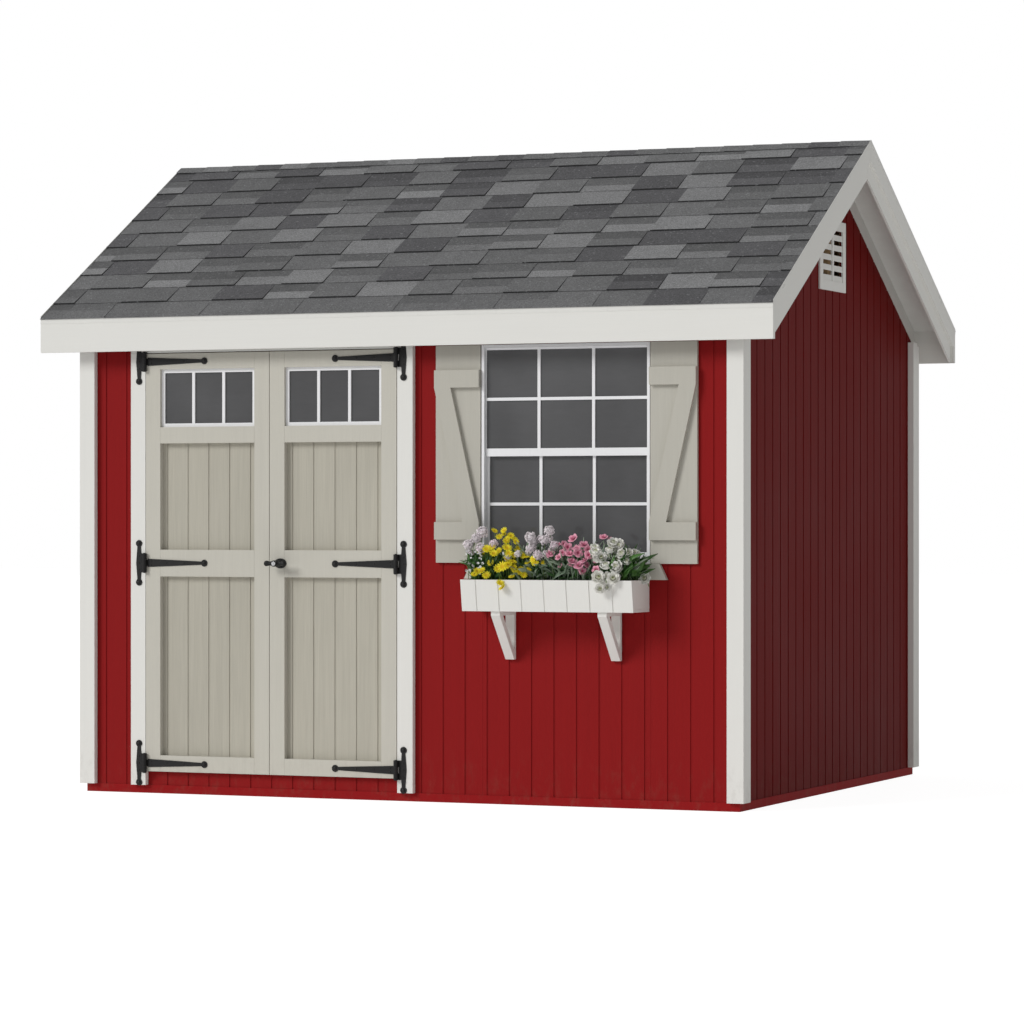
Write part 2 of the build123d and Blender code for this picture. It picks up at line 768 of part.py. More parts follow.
for side, x, away in (("left", pin_x_left, 1), ("right", pin_x_right, -1)):
    with BuildPart() as straps:
        for z in hinge_heights:
            hinge_strap(x, z, away)
    save(straps, f"{side}_hinge_straps")


# ---- lock on the right leaf -------------------------------------------------
with BuildPart() as lock_plate:
    with BuildSketch(Plane.XZ.offset(-door_face)):
        with Locations((handle_x, handle_z)):
            Ellipse(plate_w / 2, plate_h / 2)
            Circle(spindle_r + spindle_clear, mode=Mode.SUBTRACT)
    extrude(amount=plate_t)
save(lock_plate, "lock_plate")

collar_front = door_face - plate_t - saw_gap
bar_y = collar_front - handle_proud
bar_end = handle_bar / 2
bar_shape = ((1, 0), (0.8, 1), (0.45, 0.75), (0, 1.15), (-0.45, 0.75), (-0.8, 1), (-1, 0))  # along, out
key_front = bar_y - 1.5 * bar_r
cam_front = backing_back + saw_gap
with BuildPart() as door_handle:
    with BuildSketch(Plane.XY.offset(handle_z)):
        with BuildLine():
            Polyline((handle_x - bar_end, bar_y), (handle_x + bar_end, bar_y))
            Spline(*[(handle_x + share * bar_end, bar_y - swell * bar_r) for share, swell in bar_shape])
        make_face()
    revolve(axis=Axis((handle_x, bar_y, handle_z), (1, 0, 0)))
    with BuildSketch(Plane.XZ.offset(-collar_front)):
        with Locations((handle_x, handle_z)):
            Circle(2 * spindle_r + 2)
    extrude(amount=handle_proud, taper=4)
    with BuildSketch(Plane.XZ.offset(-collar_front)):
        with Locations((handle_x, handle_z)):
            Circle(spindle_r)
    extrude(amount=-(cam_front + cam_t - collar_front))
    with BuildSketch(Plane.XZ.offset(-bar_y)):
        with Locations((handle_x, handle_z)):
            Circle(key_r + key_clear + key_boss)
    extrude(amount=bar_y - key_front)
    with BuildSketch(Plane.XZ.offset(-key_front)):
        with Locations((handle_x, handle_z)):
            Circle(key_r + key_clear)
    extrude(amount=-bar_r, mode=Mode.SUBTRACT)
save(door_handle, "door_handle")

with BuildPart() as key_plug:
    with BuildSketch(Plane.XZ.offset(-(key_front + bar_r - key_clear))):
        with Locations((handle_x, handle_z)):
            Circle(key_r)
    extrude(amount=bar_r)
    with BuildSketch(Plane.XZ.offset(-(key_front - key_clear))):
        with Locations((handle_x, handle_z)):
            Rectangle(key_slot_w, key_r)
    extrude(amount=-key_slot_depth, mode=Mode.SUBTRACT)
save(key_plug, "key_plug")

with BuildPart() as latch_cam:
    with BuildSketch(Plane.XZ.offset(-cam_front)):
        with Locations((handle_x, handle_z)):
            Circle(cam_w / 2)
        with Locations((handle_x, handle_z - cam_length / 2)):
            Rectangle(cam_w, cam_length)
        with Locations((handle_x, handle_z)):
            Circle(spindle_r, mode=Mode.SUBTRACT)
    extrude(amount=-cam_t)
save(latch_cam, "latch_cam")


# ---- bolts on the left leaf -------------------------------------------------
bolt_low = deck_top + threshold_t + bolt_throw / 2
bolt_high = header_bottom - bolt_throw / 2
guide_w = 2 * (bolt_r + guide_wall)
guide_places = [bolt_low + guide_near, bolt_low + guide_far, bolt_high - guide_near, bolt_high - guide_far]
with BuildPart() as bolt_guides:
    for z in guide_places:
        with Locations((bolt_x, backing_back + guide_w / 2, z)):
            Box(guide_w, guide_w, guide_h)
    for z in guide_places:
        with Locations((bolt_x, bolt_y, z)):
            Cylinder(bolt_r + bolt_clear, 2 * guide_h, mode=Mode.SUBTRACT)
save(bolt_guides, "bolt_guides")


def barrel_bolt(low, knob_z):
    """A round bolt with its knob, from its lower end."""
    with Locations((bolt_x, bolt_y, low + bolt_length / 2)):
        Cylinder(bolt_r, bolt_length)
    with Locations(Location((bolt_x, bolt_y + (bolt_r + knob_stem) / 2, knob_z), (90, 0, 0))):
        Cylinder(knob_stem_r, bolt_r + knob_stem)
    with Locations((bolt_x, bolt_y + bolt_r + knob_stem, knob_z)):
        Sphere(knob_r)


with BuildPart() as lower_bolt:
    barrel_bolt(bolt_low, bolt_low + bolt_length - knob_inset)
save(lower_bolt, "lower_bolt")

with BuildPart() as upper_bolt:
    barrel_bolt(bolt_high - bolt_length, bolt_high - bolt_length + knob_inset)
save(upper_bolt, "upper_bolt")


# ---- window -----------------------------------------------------------------
with BuildPart() as window_frame:
    ring(
        window_left, window_right, window_sill, window_top, -half_d - frame_proud, frame_depth, frame_face,
        ((window_sill, window_sill + frame_face), (window_top - frame_face, window_top)))
save(window_frame, "window_frame")

sash_left = window_left + frame_face + sash_gap
sash_right = window_right - frame_face - sash_gap
lower_foot = window_sill + frame_face + saw_gap
upper_head = window_top - frame_face - saw_gap


def sash_bays(low, high, stile):
    """Centres and size of the six panes of a sash between two heights."""
    pane_w = (sash_right - sash_left - 2 * stile - 2 * muntin_w) / 3
    pane_h = (high - low - muntin_w) / 2
    xs = [sash_left + stile + pane_w * (i + 0.5) + muntin_w * i for i in range(3)]
    zs = [low + pane_h * (j + 0.5) + muntin_w * j for j in range(2)]
    return pane_w, pane_h, [(x, z) for x in xs for z in zs]


def window_sash(front, foot, head, low, high, stile, glass):
    """One sash, or its six panes."""
    pane_w, pane_h, centres = sash_bays(low, high, stile)
    places = [(x, front + sash_t / 2, z) for x, z in centres]
    if glass:
        with Locations(*places):
            Box(pane_w, glass_t, pane_h)
    else:
        block(sash_left, sash_right, front, front + sash_t, foot, head)
        with Locations(*places):
            Box(pane_w, 2 * sash_t, pane_h, mode=Mode.SUBTRACT)


upper_front = -half_d + upper_setback
lower_front = upper_front + sash_t + sash_gap
meeting_top = meeting_z + meeting_rail
upper_spec = (upper_front, meeting_z, upper_head, meeting_top, upper_head - upper_rail, upper_stile)
lower_spec = (lower_front, lower_foot, meeting_top, lower_foot + lower_rail, meeting_z, sash_stile)
for name, spec, glass in (
        ("upper_sash", upper_spec, False),
        ("upper_panes", upper_spec, True),
        ("lower_panes", lower_spec, True)):
    with BuildPart() as piece:
        window_sash(*spec, glass)
    save(piece, name)

with BuildPart() as lower_sash:
    window_sash(*lower_spec, False)
    lift_z = lower_foot + lower_rail / 2
    lift_y = lower_front + sash_t
    block(window_x - lift_w / 2, window_x + lift_w / 2, lift_y, lift_y + lift_reach, lift_z, lift_z + lift_t)
save(lower_sash, "lower_sash")


# ---- sill board and shutters ------------------------------------------------
with BuildPart() as sill_board:
    taper = outline(
        Plane.XZ.offset(half_d),
        (window_x - sill_board_low_w / 2, sill_board_foot),
        (window_x + sill_board_low_w / 2, sill_board_foot),
        (window_x + sill_board_top_w / 2, window_sill), (window_x - sill_board_top_w / 2, window_sill))
    extrude(taper, sill_board_t)
save(sill_board, "sill_board")

shutter_foot = window_sill + saw_gap
shutter_left = window_right + shutter_gap
with BuildPart() as shutters:
    block(
        shutter_left, shutter_left + shutter_w, -half_d - shutter_t, -half_d,
        shutter_foot, window_top)
    lower_z = shutter_foot + batten_low
    upper_z = shutter_foot + batten_high
    with BuildSketch(Plane.XZ.offset(half_d + shutter_t)):
        with Locations((shutter_left + shutter_w / 2, lower_z + batten_h / 2)):
            Rectangle(shutter_w, batten_h)
        with Locations((shutter_left + shutter_w / 2, upper_z + batten_h / 2)):
            Rectangle(shutter_w, batten_h)
        with BuildLine():
            Polyline(
                (shutter_left, lower_z + batten_h), (shutter_left + brace_w, lower_z + batten_h),
                (shutter_left + shutter_w, upper_z), (shutter_left + shutter_w - brace_w, upper_z),
                close=True)
        make_face()
    extrude(amount=batten_t)
    mirror(about=Plane.YZ.offset(window_x))
save(shutters, "shutters")


# ---- flower box -------------------------------------------------------------
box_left = window_x - box_w / 2 - box_off
box_right = box_left + box_w
lean = (box_top_reach - box_low_reach) / (box_top - box_bottom)


def box_front(z):
    """Outer face of the flower box's front at a height."""
    return -half_d - box_low_reach - lean * (z - box_bottom)


def end_board(x0, x1):
    """One end of the flower box, with a sloping front edge."""
    inset = board_t + saw_gap
    side_view = outline(
        Plane.YZ.offset(x0),
        (-half_d - inset, box_bottom + inset), (-half_d - inset, box_top),
        (box_front(box_top) + inset, box_top), (box_front(box_bottom + inset) + inset, box_bottom + inset))
    extrude(side_view, x1 - x0)


with BuildPart() as box_boards:
    side_view = outline(
        Plane.YZ.offset(box_left),
        (box_front(box_bottom), box_bottom), (box_front(box_top), box_top),
        (box_front(box_top) + board_t, box_top), (box_front(box_bottom) + board_t, box_bottom))
    extrude(side_view, box_w)
    for x in grooves(box_left, box_right, box_left + box_groove):
        notch = outline(
            Plane.YZ.offset(x - groove_w / 2),
            (box_front(box_bottom) - 1, box_bottom), (box_front(box_top) - 1, box_top),
            (box_front(box_top) + groove_depth, box_top),
            (box_front(box_bottom) + groove_depth, box_bottom))
        extrude(notch, groove_w, mode=Mode.SUBTRACT)
    block(box_left, box_right, -half_d - board_t, -half_d, box_bottom, box_top)
    block(
        box_left, box_right, box_front(box_bottom) + board_t + saw_gap, -half_d - board_t - saw_gap,
        box_bottom, box_bottom + board_t)
    end_board(box_left, box_left + board_t)
    end_board(box_right - board_t, box_right)
save(box_boards, "box_boards")

bracket_reach = box_low_reach - board_t
with BuildPart() as box_brackets:
    for side in (-1, 1):
        x = window_x - bracket_off + side * bracket_span / 2
        with BuildSketch(Plane.YZ.offset(x - bracket_t / 2)):
            with BuildLine():
                wall = -half_d
                top = box_bottom
                Polyline(
                    (wall, top), (wall - bracket_reach, top), (wall - bracket_reach, top - bracket_bar),
                    (wall - bracket_bar, top - bracket_leg), (wall, top - bracket_leg), close=True)
            make_face()
            with BuildLine():
                inner = bracket_bar
                Polyline(
                    (wall - inner, top - inner), (wall - bracket_reach + 2 * inner, top - inner),
                    (wall - inner, top - bracket_leg + 2 * inner), close=True)
            make_face(mode=Mode.SUBTRACT)
        extrude(amount=bracket_t)
save(box_brackets, "box_brackets")

soil_top = box_top - soil_drop
soil_x = (box_left + board_t + saw_gap, box_right - board_t - saw_gap)
soil_low = box_bottom + board_t + saw_gap
soil_inset = board_t + 2 * saw_gap
with BuildPart() as potting_soil:
    side_view = outline(
        Plane.YZ.offset(soil_x[0]),
        (-half_d - soil_inset, soil_low), (-half_d - soil_inset, soil_top),
        (box_front(soil_top) + soil_inset, soil_top), (box_front(soil_low) + soil_inset, soil_low))
    extrude(side_view, soil_x[1] - soil_x[0])
save(potting_soil, "potting_soil")

plant_kinds = (
    ("plant_greens", (0.5, 4.5), 150.0), ("plant_daisies", (1.5,), 170.0),
    ("plant_lilacs", (2.5,), 165.0), ("plant_pinks", (3.5, 5.5), 190.0), ("plant_roses", (6.5,), 165.0))
plant_count = 7
plant_step = (soil_x[1] - soil_x[0]) / plant_count
plant_rx = plant_step / 2 - plant_gap
bed_back = -half_d - max(soil_inset, sill_board_t) - plant_gap
bed_front = box_front(soil_top) + soil_inset + plant_gap
bed_y = (bed_back + bed_front) / 2
bed_ry = (bed_back - bed_front) / 2
for name, places, height in plant_kinds:
    with BuildPart() as plant:
        for place in places:
            x = soil_x[0] + place * plant_step
            for share, size in plant_shape:
                with BuildSketch(Plane.XY.offset(soil_top + share * height)):
                    with Locations((x, bed_y)):
                        Ellipse(plant_rx * size, bed_ry * size)
            loft()
    save(plant, name)
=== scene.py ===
import json
from math import atan, cos, pi, radians, sin

import bpy
import numpy as np
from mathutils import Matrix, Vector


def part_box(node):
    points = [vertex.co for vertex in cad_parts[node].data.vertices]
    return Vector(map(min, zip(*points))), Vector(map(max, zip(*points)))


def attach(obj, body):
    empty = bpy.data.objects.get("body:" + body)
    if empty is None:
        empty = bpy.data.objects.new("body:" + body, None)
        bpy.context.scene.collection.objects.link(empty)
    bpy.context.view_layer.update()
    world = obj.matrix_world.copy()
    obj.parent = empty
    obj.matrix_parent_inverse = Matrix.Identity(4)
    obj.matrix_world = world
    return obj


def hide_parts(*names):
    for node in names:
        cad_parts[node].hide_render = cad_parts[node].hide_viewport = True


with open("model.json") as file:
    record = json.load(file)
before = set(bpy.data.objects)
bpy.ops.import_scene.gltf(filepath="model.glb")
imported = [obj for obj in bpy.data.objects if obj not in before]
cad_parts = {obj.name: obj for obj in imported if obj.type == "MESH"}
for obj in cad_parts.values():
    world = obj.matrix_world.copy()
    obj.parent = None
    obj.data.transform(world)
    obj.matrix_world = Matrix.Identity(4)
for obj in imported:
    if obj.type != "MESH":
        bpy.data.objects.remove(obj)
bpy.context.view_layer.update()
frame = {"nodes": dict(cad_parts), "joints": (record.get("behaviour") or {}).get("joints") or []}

bl_info = {
    "name": "Garden Shed",
    "version": (1, 0, 0),
    "blender": (4, 5, 0),
    "location": "3D View > Sidebar > Shed",
    "description": "Finishes, roofing, planting and stage for the garden shed",
    "category": "Object",
}

PITCH = 7 / 12
SLOPE = atan(PITCH)
HINGE_HEIGHTS = (0.133, 1.010, 1.891)
SHEATHING_PEAK = 0.002 * PITCH    # height of the slopes' meeting line above the sheathing's highest edge
STRAP_TIP = 0.290                 # hinge axis to the big bolt at the strap's end
LEAF_MIDDLE = 0.032               # hinge axis to the middle of the jamb leaf
LEAF_BALL = 0.085                 # hinge centre to a ball end of the jamb leaf
PLATE_T = 0.003                   # thickness of the hinge plates
SHUTTER_SHADE = 0.88              # paint of the shutters against that of the doors


# ---- settings -----------------------------------------------------------------
def length(name, description, default):
    """A size in metres."""
    return bpy.props.FloatProperty(
        name=name, description=description, default=default, min=0.0, precision=4, subtype="DISTANCE",
        unit="LENGTH")


def tone(name, description, default):
    """A linear colour."""
    return bpy.props.FloatVectorProperty(
        name=name, description=description, default=default, size=3, min=0.0, max=1.0, subtype="COLOR")


class ShedPaints(bpy.types.PropertyGroup):
    """Colours of the paints and coatings."""

    siding: tone("Siding", "Red of the grooved wall panels", (0.246, 0.0082, 0.0088))
    # painted shade: the gable red is the siding's red made deeper to stand for the shade on the side walls
    gables: tone("Gable siding", "Red of the side walls, a shade deeper", (0.134, 0.0022, 0.0016))
    skirt: tone("Skirt", "Red of the strip at the foot of the walls", (0.270, 0.0079, 0.0092))
    trim: tone("Trim", "White of the corner boards, casing and roof trim", (0.755, 0.748, 0.712))
    doors: tone("Doors", "Greige of the doors, shutters and sill board", (0.542, 0.523, 0.461))
    sashes: tone("Sashes", "White of the window and the door lights", (0.840, 0.840, 0.850))
    hardware: tone("Hardware", "Powder coat of the hinges and the handle", (0.010, 0.010, 0.010))
    # the panes' dark tint is painted shade: it stands for the dim room seen through them
    glass: tone("Glass", "Tint of the panes", (0.105, 0.105, 0.108))


class ShedRoofing(bpy.types.PropertyGroup):
    """Sizes and colours of the laminated shingles."""

    exposure: length("Exposure", "Visible height of one course along the slope", 0.137)
    tab: length("Tab", "Width of a raised tab, and of the gap beside it", 0.230)
    lap: length("Lap", "How far a course runs under the next one", 0.030)
    tab_lift: length("Tab lift", "Height of a raised tab's butt above the sheathing", 0.0100)
    gap_lift: length("Gap lift", "Height of the butt between the tabs", 0.0055)
    head_lift: length("Head lift", "Height of a course's upper end", 0.0015)
    light: tone("Light blend", "Lightest granule blend", (0.245, 0.246, 0.249))
    middle: tone("Middle blend", "Usual granule blend", (0.178, 0.179, 0.181))
    dark: tone("Dark blend", "Darkest granule blend", (0.122, 0.121, 0.126))


class ShedPlanting(bpy.types.PropertyGroup):
    """Sizes of the flowers in the window box."""

    daisy: length("Daisy", "Radius of a daisy", 0.021)
    pompom: length("Pompom", "Radius of a lilac pompom", 0.0225)
    pink: length("Pink", "Radius of a pink", 0.021)
    rose: length("Rose", "Radius of a white rose", 0.0275)
    leaf: length("Leaf", "Length of a usual leaf", 0.075)


class ShedStage(bpy.types.PropertyGroup):
    """Camera and light of the studio."""

    lens: length("Lens", "Focal length of the camera", 0.131)
    key: bpy.props.FloatProperty(name="Key light", description="Strength of the main light", default=1.74)
    fill: bpy.props.FloatProperty(
        name="Fill light", description="Strength of the light from all sides", default=0.33)
    floor: tone("Floor", "Colour of the studio floor", (0.90, 0.90, 0.90))


# ---- shader maths ---------------------------------------------------------------
class Wire:
    """One shader value. The usual operators add the Math node that works out the result."""

    def __init__(self, net, socket):
        self.net = net
        self.socket = socket

    def maths(self, operation, first, second=0.0):
        return self.net.node("ShaderNodeMath", {"operation": operation}, {0: first, 1: second})

    def __add__(self, other):
        return self.maths("ADD", self, other)

    def __sub__(self, other):
        return self.maths("SUBTRACT", self, other)

    def __rsub__(self, other):
        return self.maths("SUBTRACT", other, self)

    def __mul__(self, other):
        return self.maths("MULTIPLY", self, other)

    def __truediv__(self, other):
        return self.maths("DIVIDE", self, other)

    def __pow__(self, other):
        return self.maths("POWER", self, other)

    def __abs__(self):
        return self.maths("ABSOLUTE", self)

    def beyond(self, limit):
        """1 above a limit and 0 up to it."""
        return self.maths("GREATER_THAN", self, limit)

    __radd__ = __add__
    __rmul__ = __mul__


class Net:
    """A node tree and the one method that adds nodes to it."""

    def __init__(self, tree):
        self.tree = tree
        tree.nodes.clear()

    def node(self, kind, settings=None, sockets=None, output=0):
        """Adds a node: settings first, then the values or links of its sockets. Returns one of its outputs."""
        made = self.tree.nodes.new(kind)
        for name, value in (settings or {}).items():
            setattr(made, name, value)
        for name, value in (sockets or {}).items():
            if isinstance(value, Wire):
                self.tree.links.new(value.socket, made.inputs[name])
            else:
                made.inputs[name].default_value = value
        return Wire(self, made.outputs[output] if made.outputs else None)


class Finish(Net):
    """A material built round one Principled shader, with the object's own metres as its coordinates."""

    def __init__(self, name, **constants):
        self.material = bpy.data.materials.new(name)
        self.material.use_nodes = True
        super().__init__(self.material.node_tree)
        shader = self.node("ShaderNodeBsdfPrincipled")
        self.shader = shader.socket.node
        self.node("ShaderNodeOutputMaterial", None, {"Surface": shader})
        for name, value in constants.items():
            self.shader.inputs[name.replace("_", " ")].default_value = value
        self.place = self.node("ShaderNodeTexCoord", None, None, "Object")

    def at(self, stretch, shift):
        """The coordinates stretched along each axis and shifted, so that patterns don't repeat each other."""
        return self.node("ShaderNodeMapping", None, {
            "Vector": self.place, "Scale": stretch, "Location": (shift,) * 3})

    def noise(self, stretch, detail=3.0, rough=0.5, shift=0.0, warp=0.0):
        """Noise whose cells are one over the stretch in size along each axis."""
        return self.node("ShaderNodeTexNoise", None, {
            "Vector": self.at(stretch, shift), "Scale": 1.0, "Detail": detail, "Roughness": rough, "Distortion": warp})

    def cells(self, stretch, shift=0.0):
        """A random value from 0 to 1 in each cell of a packed pattern."""
        colour = self.node(
            "ShaderNodeTexVoronoi", None, {"Vector": self.at(stretch, shift), "Scale": 1.0}, "Color")
        return self.node("ShaderNodeSeparateColor", None, {0: colour})

    def band(self, value, low, high):
        """0 below low, 1 above high and a smooth step between."""
        return self.node("ShaderNodeMapRange", {"interpolation_type": "SMOOTHSTEP"}, {
            "Value": value, "From Min": low, "From Max": high})

    def scaled(self, colour, shade):
        """A colour times a number."""
        return self.node("ShaderNodeVectorMath", {"operation": "SCALE"}, {0: colour, "Scale": shade})

    def mixed(self, share, first, second):
        """Two colours blended by a share."""
        first, second = [c if isinstance(c, Wire) else (*c, 1.0) for c in (first, second)]
        return self.node("ShaderNodeMix", {"data_type": "RGBA"}, {0: share, 6: first, 7: second}, 2)

    def height(self, axis):
        """One of the object's coordinates, in metres."""
        return self.node("ShaderNodeSeparateXYZ", None, {0: self.place}, axis)

    def beyond_walls(self, in_x, in_y):
        """1 outside a rectangle of the plan that lies a step inside the walls' outer faces, and 0 in it."""
        half_x, half_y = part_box("siding_gables")[1].x - in_x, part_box("siding_rear")[1].y - in_y
        away = [
            abs(self.height(axis)).beyond(half) for axis, half in (("X", half_x), ("Y", half_y))]
        return away[0].maths("MAXIMUM", away[0], away[1])

    def set(self, **sockets):
        """Links values to the shader's sockets and returns the material."""
        for name, wire in sockets.items():
            self.tree.links.new(wire.socket, self.shader.inputs[name.replace("_", " ")])
        return self.material

    def bump(self, height, strength, distance):
        return self.node("ShaderNodeBump", None, {"Height": height, "Strength": strength, "Distance": distance})


def stretched(along, fine, coarse):
    """Scales of a pattern that is fine across an axis and coarse along it."""
    return tuple(coarse if axis == along else fine for axis in "XYZ")


def painted_wood(name, colour, along="Z", depth=1.0, contrast=0.16, splash=0.0, bare=False):
    """Satin paint over embossed wood grain: fibres, cathedral streaks, clouding and rain splash low down."""
    f = Finish(name, Specular_IOR_Level=0.08)
    fibre = f.noise(stretched(along, 190, 5.0), 4, 0.62)
    streak = f.noise(stretched(along, 42, 1.3), 3, 0.55, 3.7, 0.6)
    cloud = f.noise((2.1, 2.1, 1.4), 3, 0.5, 8.1)
    grain = fibre * 0.55 + streak * 0.45
    shade = 1.0 + (grain - 0.5) * contrast + (cloud - 0.5) * (0.5 * contrast)
    paint = f.scaled(colour, shade)
    if splash:
        low = 1.0 - f.band(f.height("Z"), 0.02, 0.30)
        spots = f.band(f.noise((26, 26, 14), 5, 0.7, 1.3), 0.46, 0.74)
        paint = f.mixed(low * spots * splash, paint, (0.16, 0.12, 0.085))
    if bare:
        # the panel's inner face is left unpainted
        paint = f.mixed(f.beyond_walls(0.0085, 0.0085), f.scaled((0.40, 0.27, 0.155), 0.80 + grain * 0.40), paint)
    gloss = 0.56 + (cloud - 0.5) * 0.18 + (fibre - 0.5) * 0.16
    return f.set(Base_Color=paint, Roughness=gloss, Normal=f.bump(grain, 0.42 * depth, 0.0022))


def moulded_white(name, colour):
    """Smooth satin sash paint with faint brush marks and a little dust."""
    f = Finish(name, Specular_IOR_Level=0.25)
    brush = f.noise((70, 70, 8), 3, 0.6)
    dust = f.noise((9, 9, 9), 4, 0.6, 2.0)
    paint = f.scaled(colour, 0.985 + (brush - 0.5) * 0.05 + (dust - 0.5) * 0.05)
    return f.set(Base_Color=paint, Roughness=0.30 + (dust - 0.5) * 0.2, Normal=f.bump(brush, 0.12, 0.001))


def eave_paint(f, wood, white):
    """Bare inside the walls and painted on the overhangs, with a little grime."""
    grime = f.noise((13, 13, 13), 4, 0.6, 11.0)
    return f.mixed(f.beyond_walls(0.012, 0.0), wood, f.scaled(white, 0.93 + (grime - 0.5) * 0.12))


def raw_timber(name, along, white=None):
    """Planed spruce: growth rings drawn out along the board, knots and saw marks."""
    f = Finish(name, Specular_IOR_Level=0.3)
    ring = f.noise(stretched(along, 38, 1.1), 3, 0.55, 0.0, 1.4)
    line = f.noise(stretched(along, 260, 4.0), 2, 0.5, 5.0)
    knot = f.band(f.noise(stretched(along, 12, 4.5), 1, 0.3, 9.0), 0.70, 0.78)
    wood = f.mixed(f.band(ring, 0.38, 0.62), (0.66, 0.46, 0.25), (0.50, 0.31, 0.15))
    wood = f.mixed(knot * 0.8, wood, (0.17, 0.075, 0.032))
    wood = f.scaled(wood, 0.92 + line * 0.16)
    if white:
        wood = eave_paint(f, wood, white)
    return f.set(Base_Color=wood, Roughness=0.62 + line * 0.2, Normal=f.bump(line + ring, 0.3, 0.001))


def plywood():
    """Rotary-cut veneer: long wandering figure, patches and boot dust."""
    f = Finish("deck_veneer", Specular_IOR_Level=0.3)
    figure = f.noise((2.2, 17, 17), 4, 0.6, 0.0, 2.2)
    pore = f.noise((12, 320, 320), 2, 0.5)
    dust = f.band(f.noise((3, 3, 3), 4, 0.65, 4.0), 0.45, 0.75)
    wood = f.mixed(f.band(figure, 0.35, 0.65), (0.58, 0.40, 0.22), (0.42, 0.26, 0.13))
    wood = f.mixed(dust * 0.4, wood, (0.36, 0.31, 0.26))
    return f.set(Base_Color=wood, Roughness=0.6 + pore * 0.25, Normal=f.bump(pore + figure, 0.25, 0.0008))


def strand_board(white):
    """Pressed wood strands lying two ways over each other."""
    f = Finish("sheathing_strands", Specular_IOR_Level=0.25)
    long_way = f.cells((9, 42, 42))
    cross_way = f.cells((34, 12, 34), 6.0)
    top = f.band(f.noise((16, 16, 16), 2, 0.5, 2.0), 0.47, 0.53)
    first = f.mixed(long_way, (0.38, 0.23, 0.11), (0.66, 0.47, 0.26))
    second = f.mixed(cross_way, (0.34, 0.20, 0.09), (0.60, 0.42, 0.22))
    wood = eave_paint(f, f.mixed(top, first, second), white)
    relief = f.bump(long_way + cross_way, 0.35, 0.0012)
    return f.set(Base_Color=wood, Roughness=0.55 + long_way * 0.3, Normal=relief)


def granules():
    """Ceramic granules: each speck its own grey over the colour of its tab, with darker scuffs."""
    f = Finish("shingle_granules", Specular_IOR_Level=0.22)
    tint = f.node("ShaderNodeAttribute", {"attribute_name": "tint"}, None, "Color")
    speck = f.cells((430, 430, 430))
    clump = f.noise((120, 120, 120), 3, 0.75)
    cloud = f.noise((11, 11, 11), 3, 0.5, 7.0)
    glint = f.band(f.cells((150, 150, 150), 3.0), 0.965, 0.985)
    shade = 0.58 + speck * 0.52 + (clump - 0.5) * 1.3 + cloud * 0.30
    grey = f.mixed(glint * 0.3, f.scaled(tint, shade), (0.40, 0.41, 0.42))
    return f.set(Base_Color=grey, Roughness=0.86 + speck * 0.12, Normal=f.bump(speck + clump, 0.55, 0.0016))


def powder_coat(name, colour):
    """Black powder coat: fine orange peel and dust."""
    f = Finish(name, Specular_IOR_Level=0.28)
    peel = f.noise((900, 900, 900), 2, 0.5)
    dust = f.noise((45, 45, 45), 4, 0.6, 2.0)
    coat = f.mixed(f.band(dust, 0.5, 0.8) * 0.25, colour, (0.032, 0.031, 0.030))
    return f.set(Base_Color=coat, Roughness=0.40 + dust * 0.22, Normal=f.bump(peel, 0.18, 0.0006))


def bright_metal(name, colour, roughness, along="X", spangle=0.0):
    """Bare metal with a drawn grain, a scuffed bloom and, on zinc, crystal spangle."""
    f = Finish(name, Metallic=1.0)
    drawn = f.noise(stretched(along, 700, 12), 2, 0.5)
    bloom = f.noise((30, 30, 30), 4, 0.6, 5.0)
    shade = 0.90 + (drawn - 0.5) * 0.14 + (bloom - 0.5) * 0.16
    if spangle:
        shade = shade + (f.cells((110, 110, 110)) - 0.5) * spangle
    gloss = roughness + (bloom - 0.5) * 0.22
    return f.set(Base_Color=f.scaled(colour, shade), Roughness=gloss, Normal=f.bump(drawn, 0.12, 0.0005))


def pane_painted_room_shade(colour):
    """Dark pane: its colour is painted shade of the dim room behind it, in lighter and darker blotches with faint wipe
    streaks.
    """
    f = Finish("pane_painted_room_shade", Specular_IOR_Level=0.6, IOR=1.5)
    blotch = f.noise((2.6, 2.6, 1.9), 3, 0.5, 4.0)
    wipe = f.noise((16, 16, 60), 3, 0.6)
    shade = 0.55 + blotch * 0.75 + (wipe - 0.5) * 0.12
    return f.set(
        Base_Color=f.scaled(colour, shade), Roughness=0.03 + f.band(blotch, 0.35, 0.8) * 0.09,
        Alpha=0.86 + blotch * 0.10)


def potting_mix():
    """Dark peat with bark crumbs and white perlite."""
    f = Finish("potting_mix", Specular_IOR_Level=0.2)
    crumb = f.cells((230, 230, 230))
    damp = f.noise((28, 28, 28), 4, 0.6)
    perlite = f.band(f.cells((170, 170, 170), 3.0), 0.93, 0.94)
    peat = f.mixed(crumb, (0.016, 0.010, 0.007), (0.075, 0.045, 0.028))
    peat = f.mixed(perlite, f.scaled(peat, 0.6 + damp * 0.8), (0.55, 0.53, 0.49))
    return f.set(Base_Color=peat, Roughness=0.8 + damp * 0.15, Normal=f.bump(crumb + damp, 0.8, 0.004))


def plant_skin(name, roughness, depth):
    """Leaf or petal: the tint of each point, with fine veins and mottling."""
    f = Finish(name, Specular_IOR_Level=0.4)
    tint = f.node("ShaderNodeAttribute", {"attribute_name": "tint"}, None, "Color")
    vein = f.noise((420, 420, 160), 2, 0.5)
    mottle = f.noise((90, 90, 90), 3, 0.6, 2.0)
    shade = 0.80 + vein * 0.18 + mottle * 0.22
    return f.set(
        Base_Color=f.scaled(tint, shade), Roughness=roughness + (mottle - 0.5) * 0.2,
        Normal=f.bump(vein + mottle, depth, 0.0008))


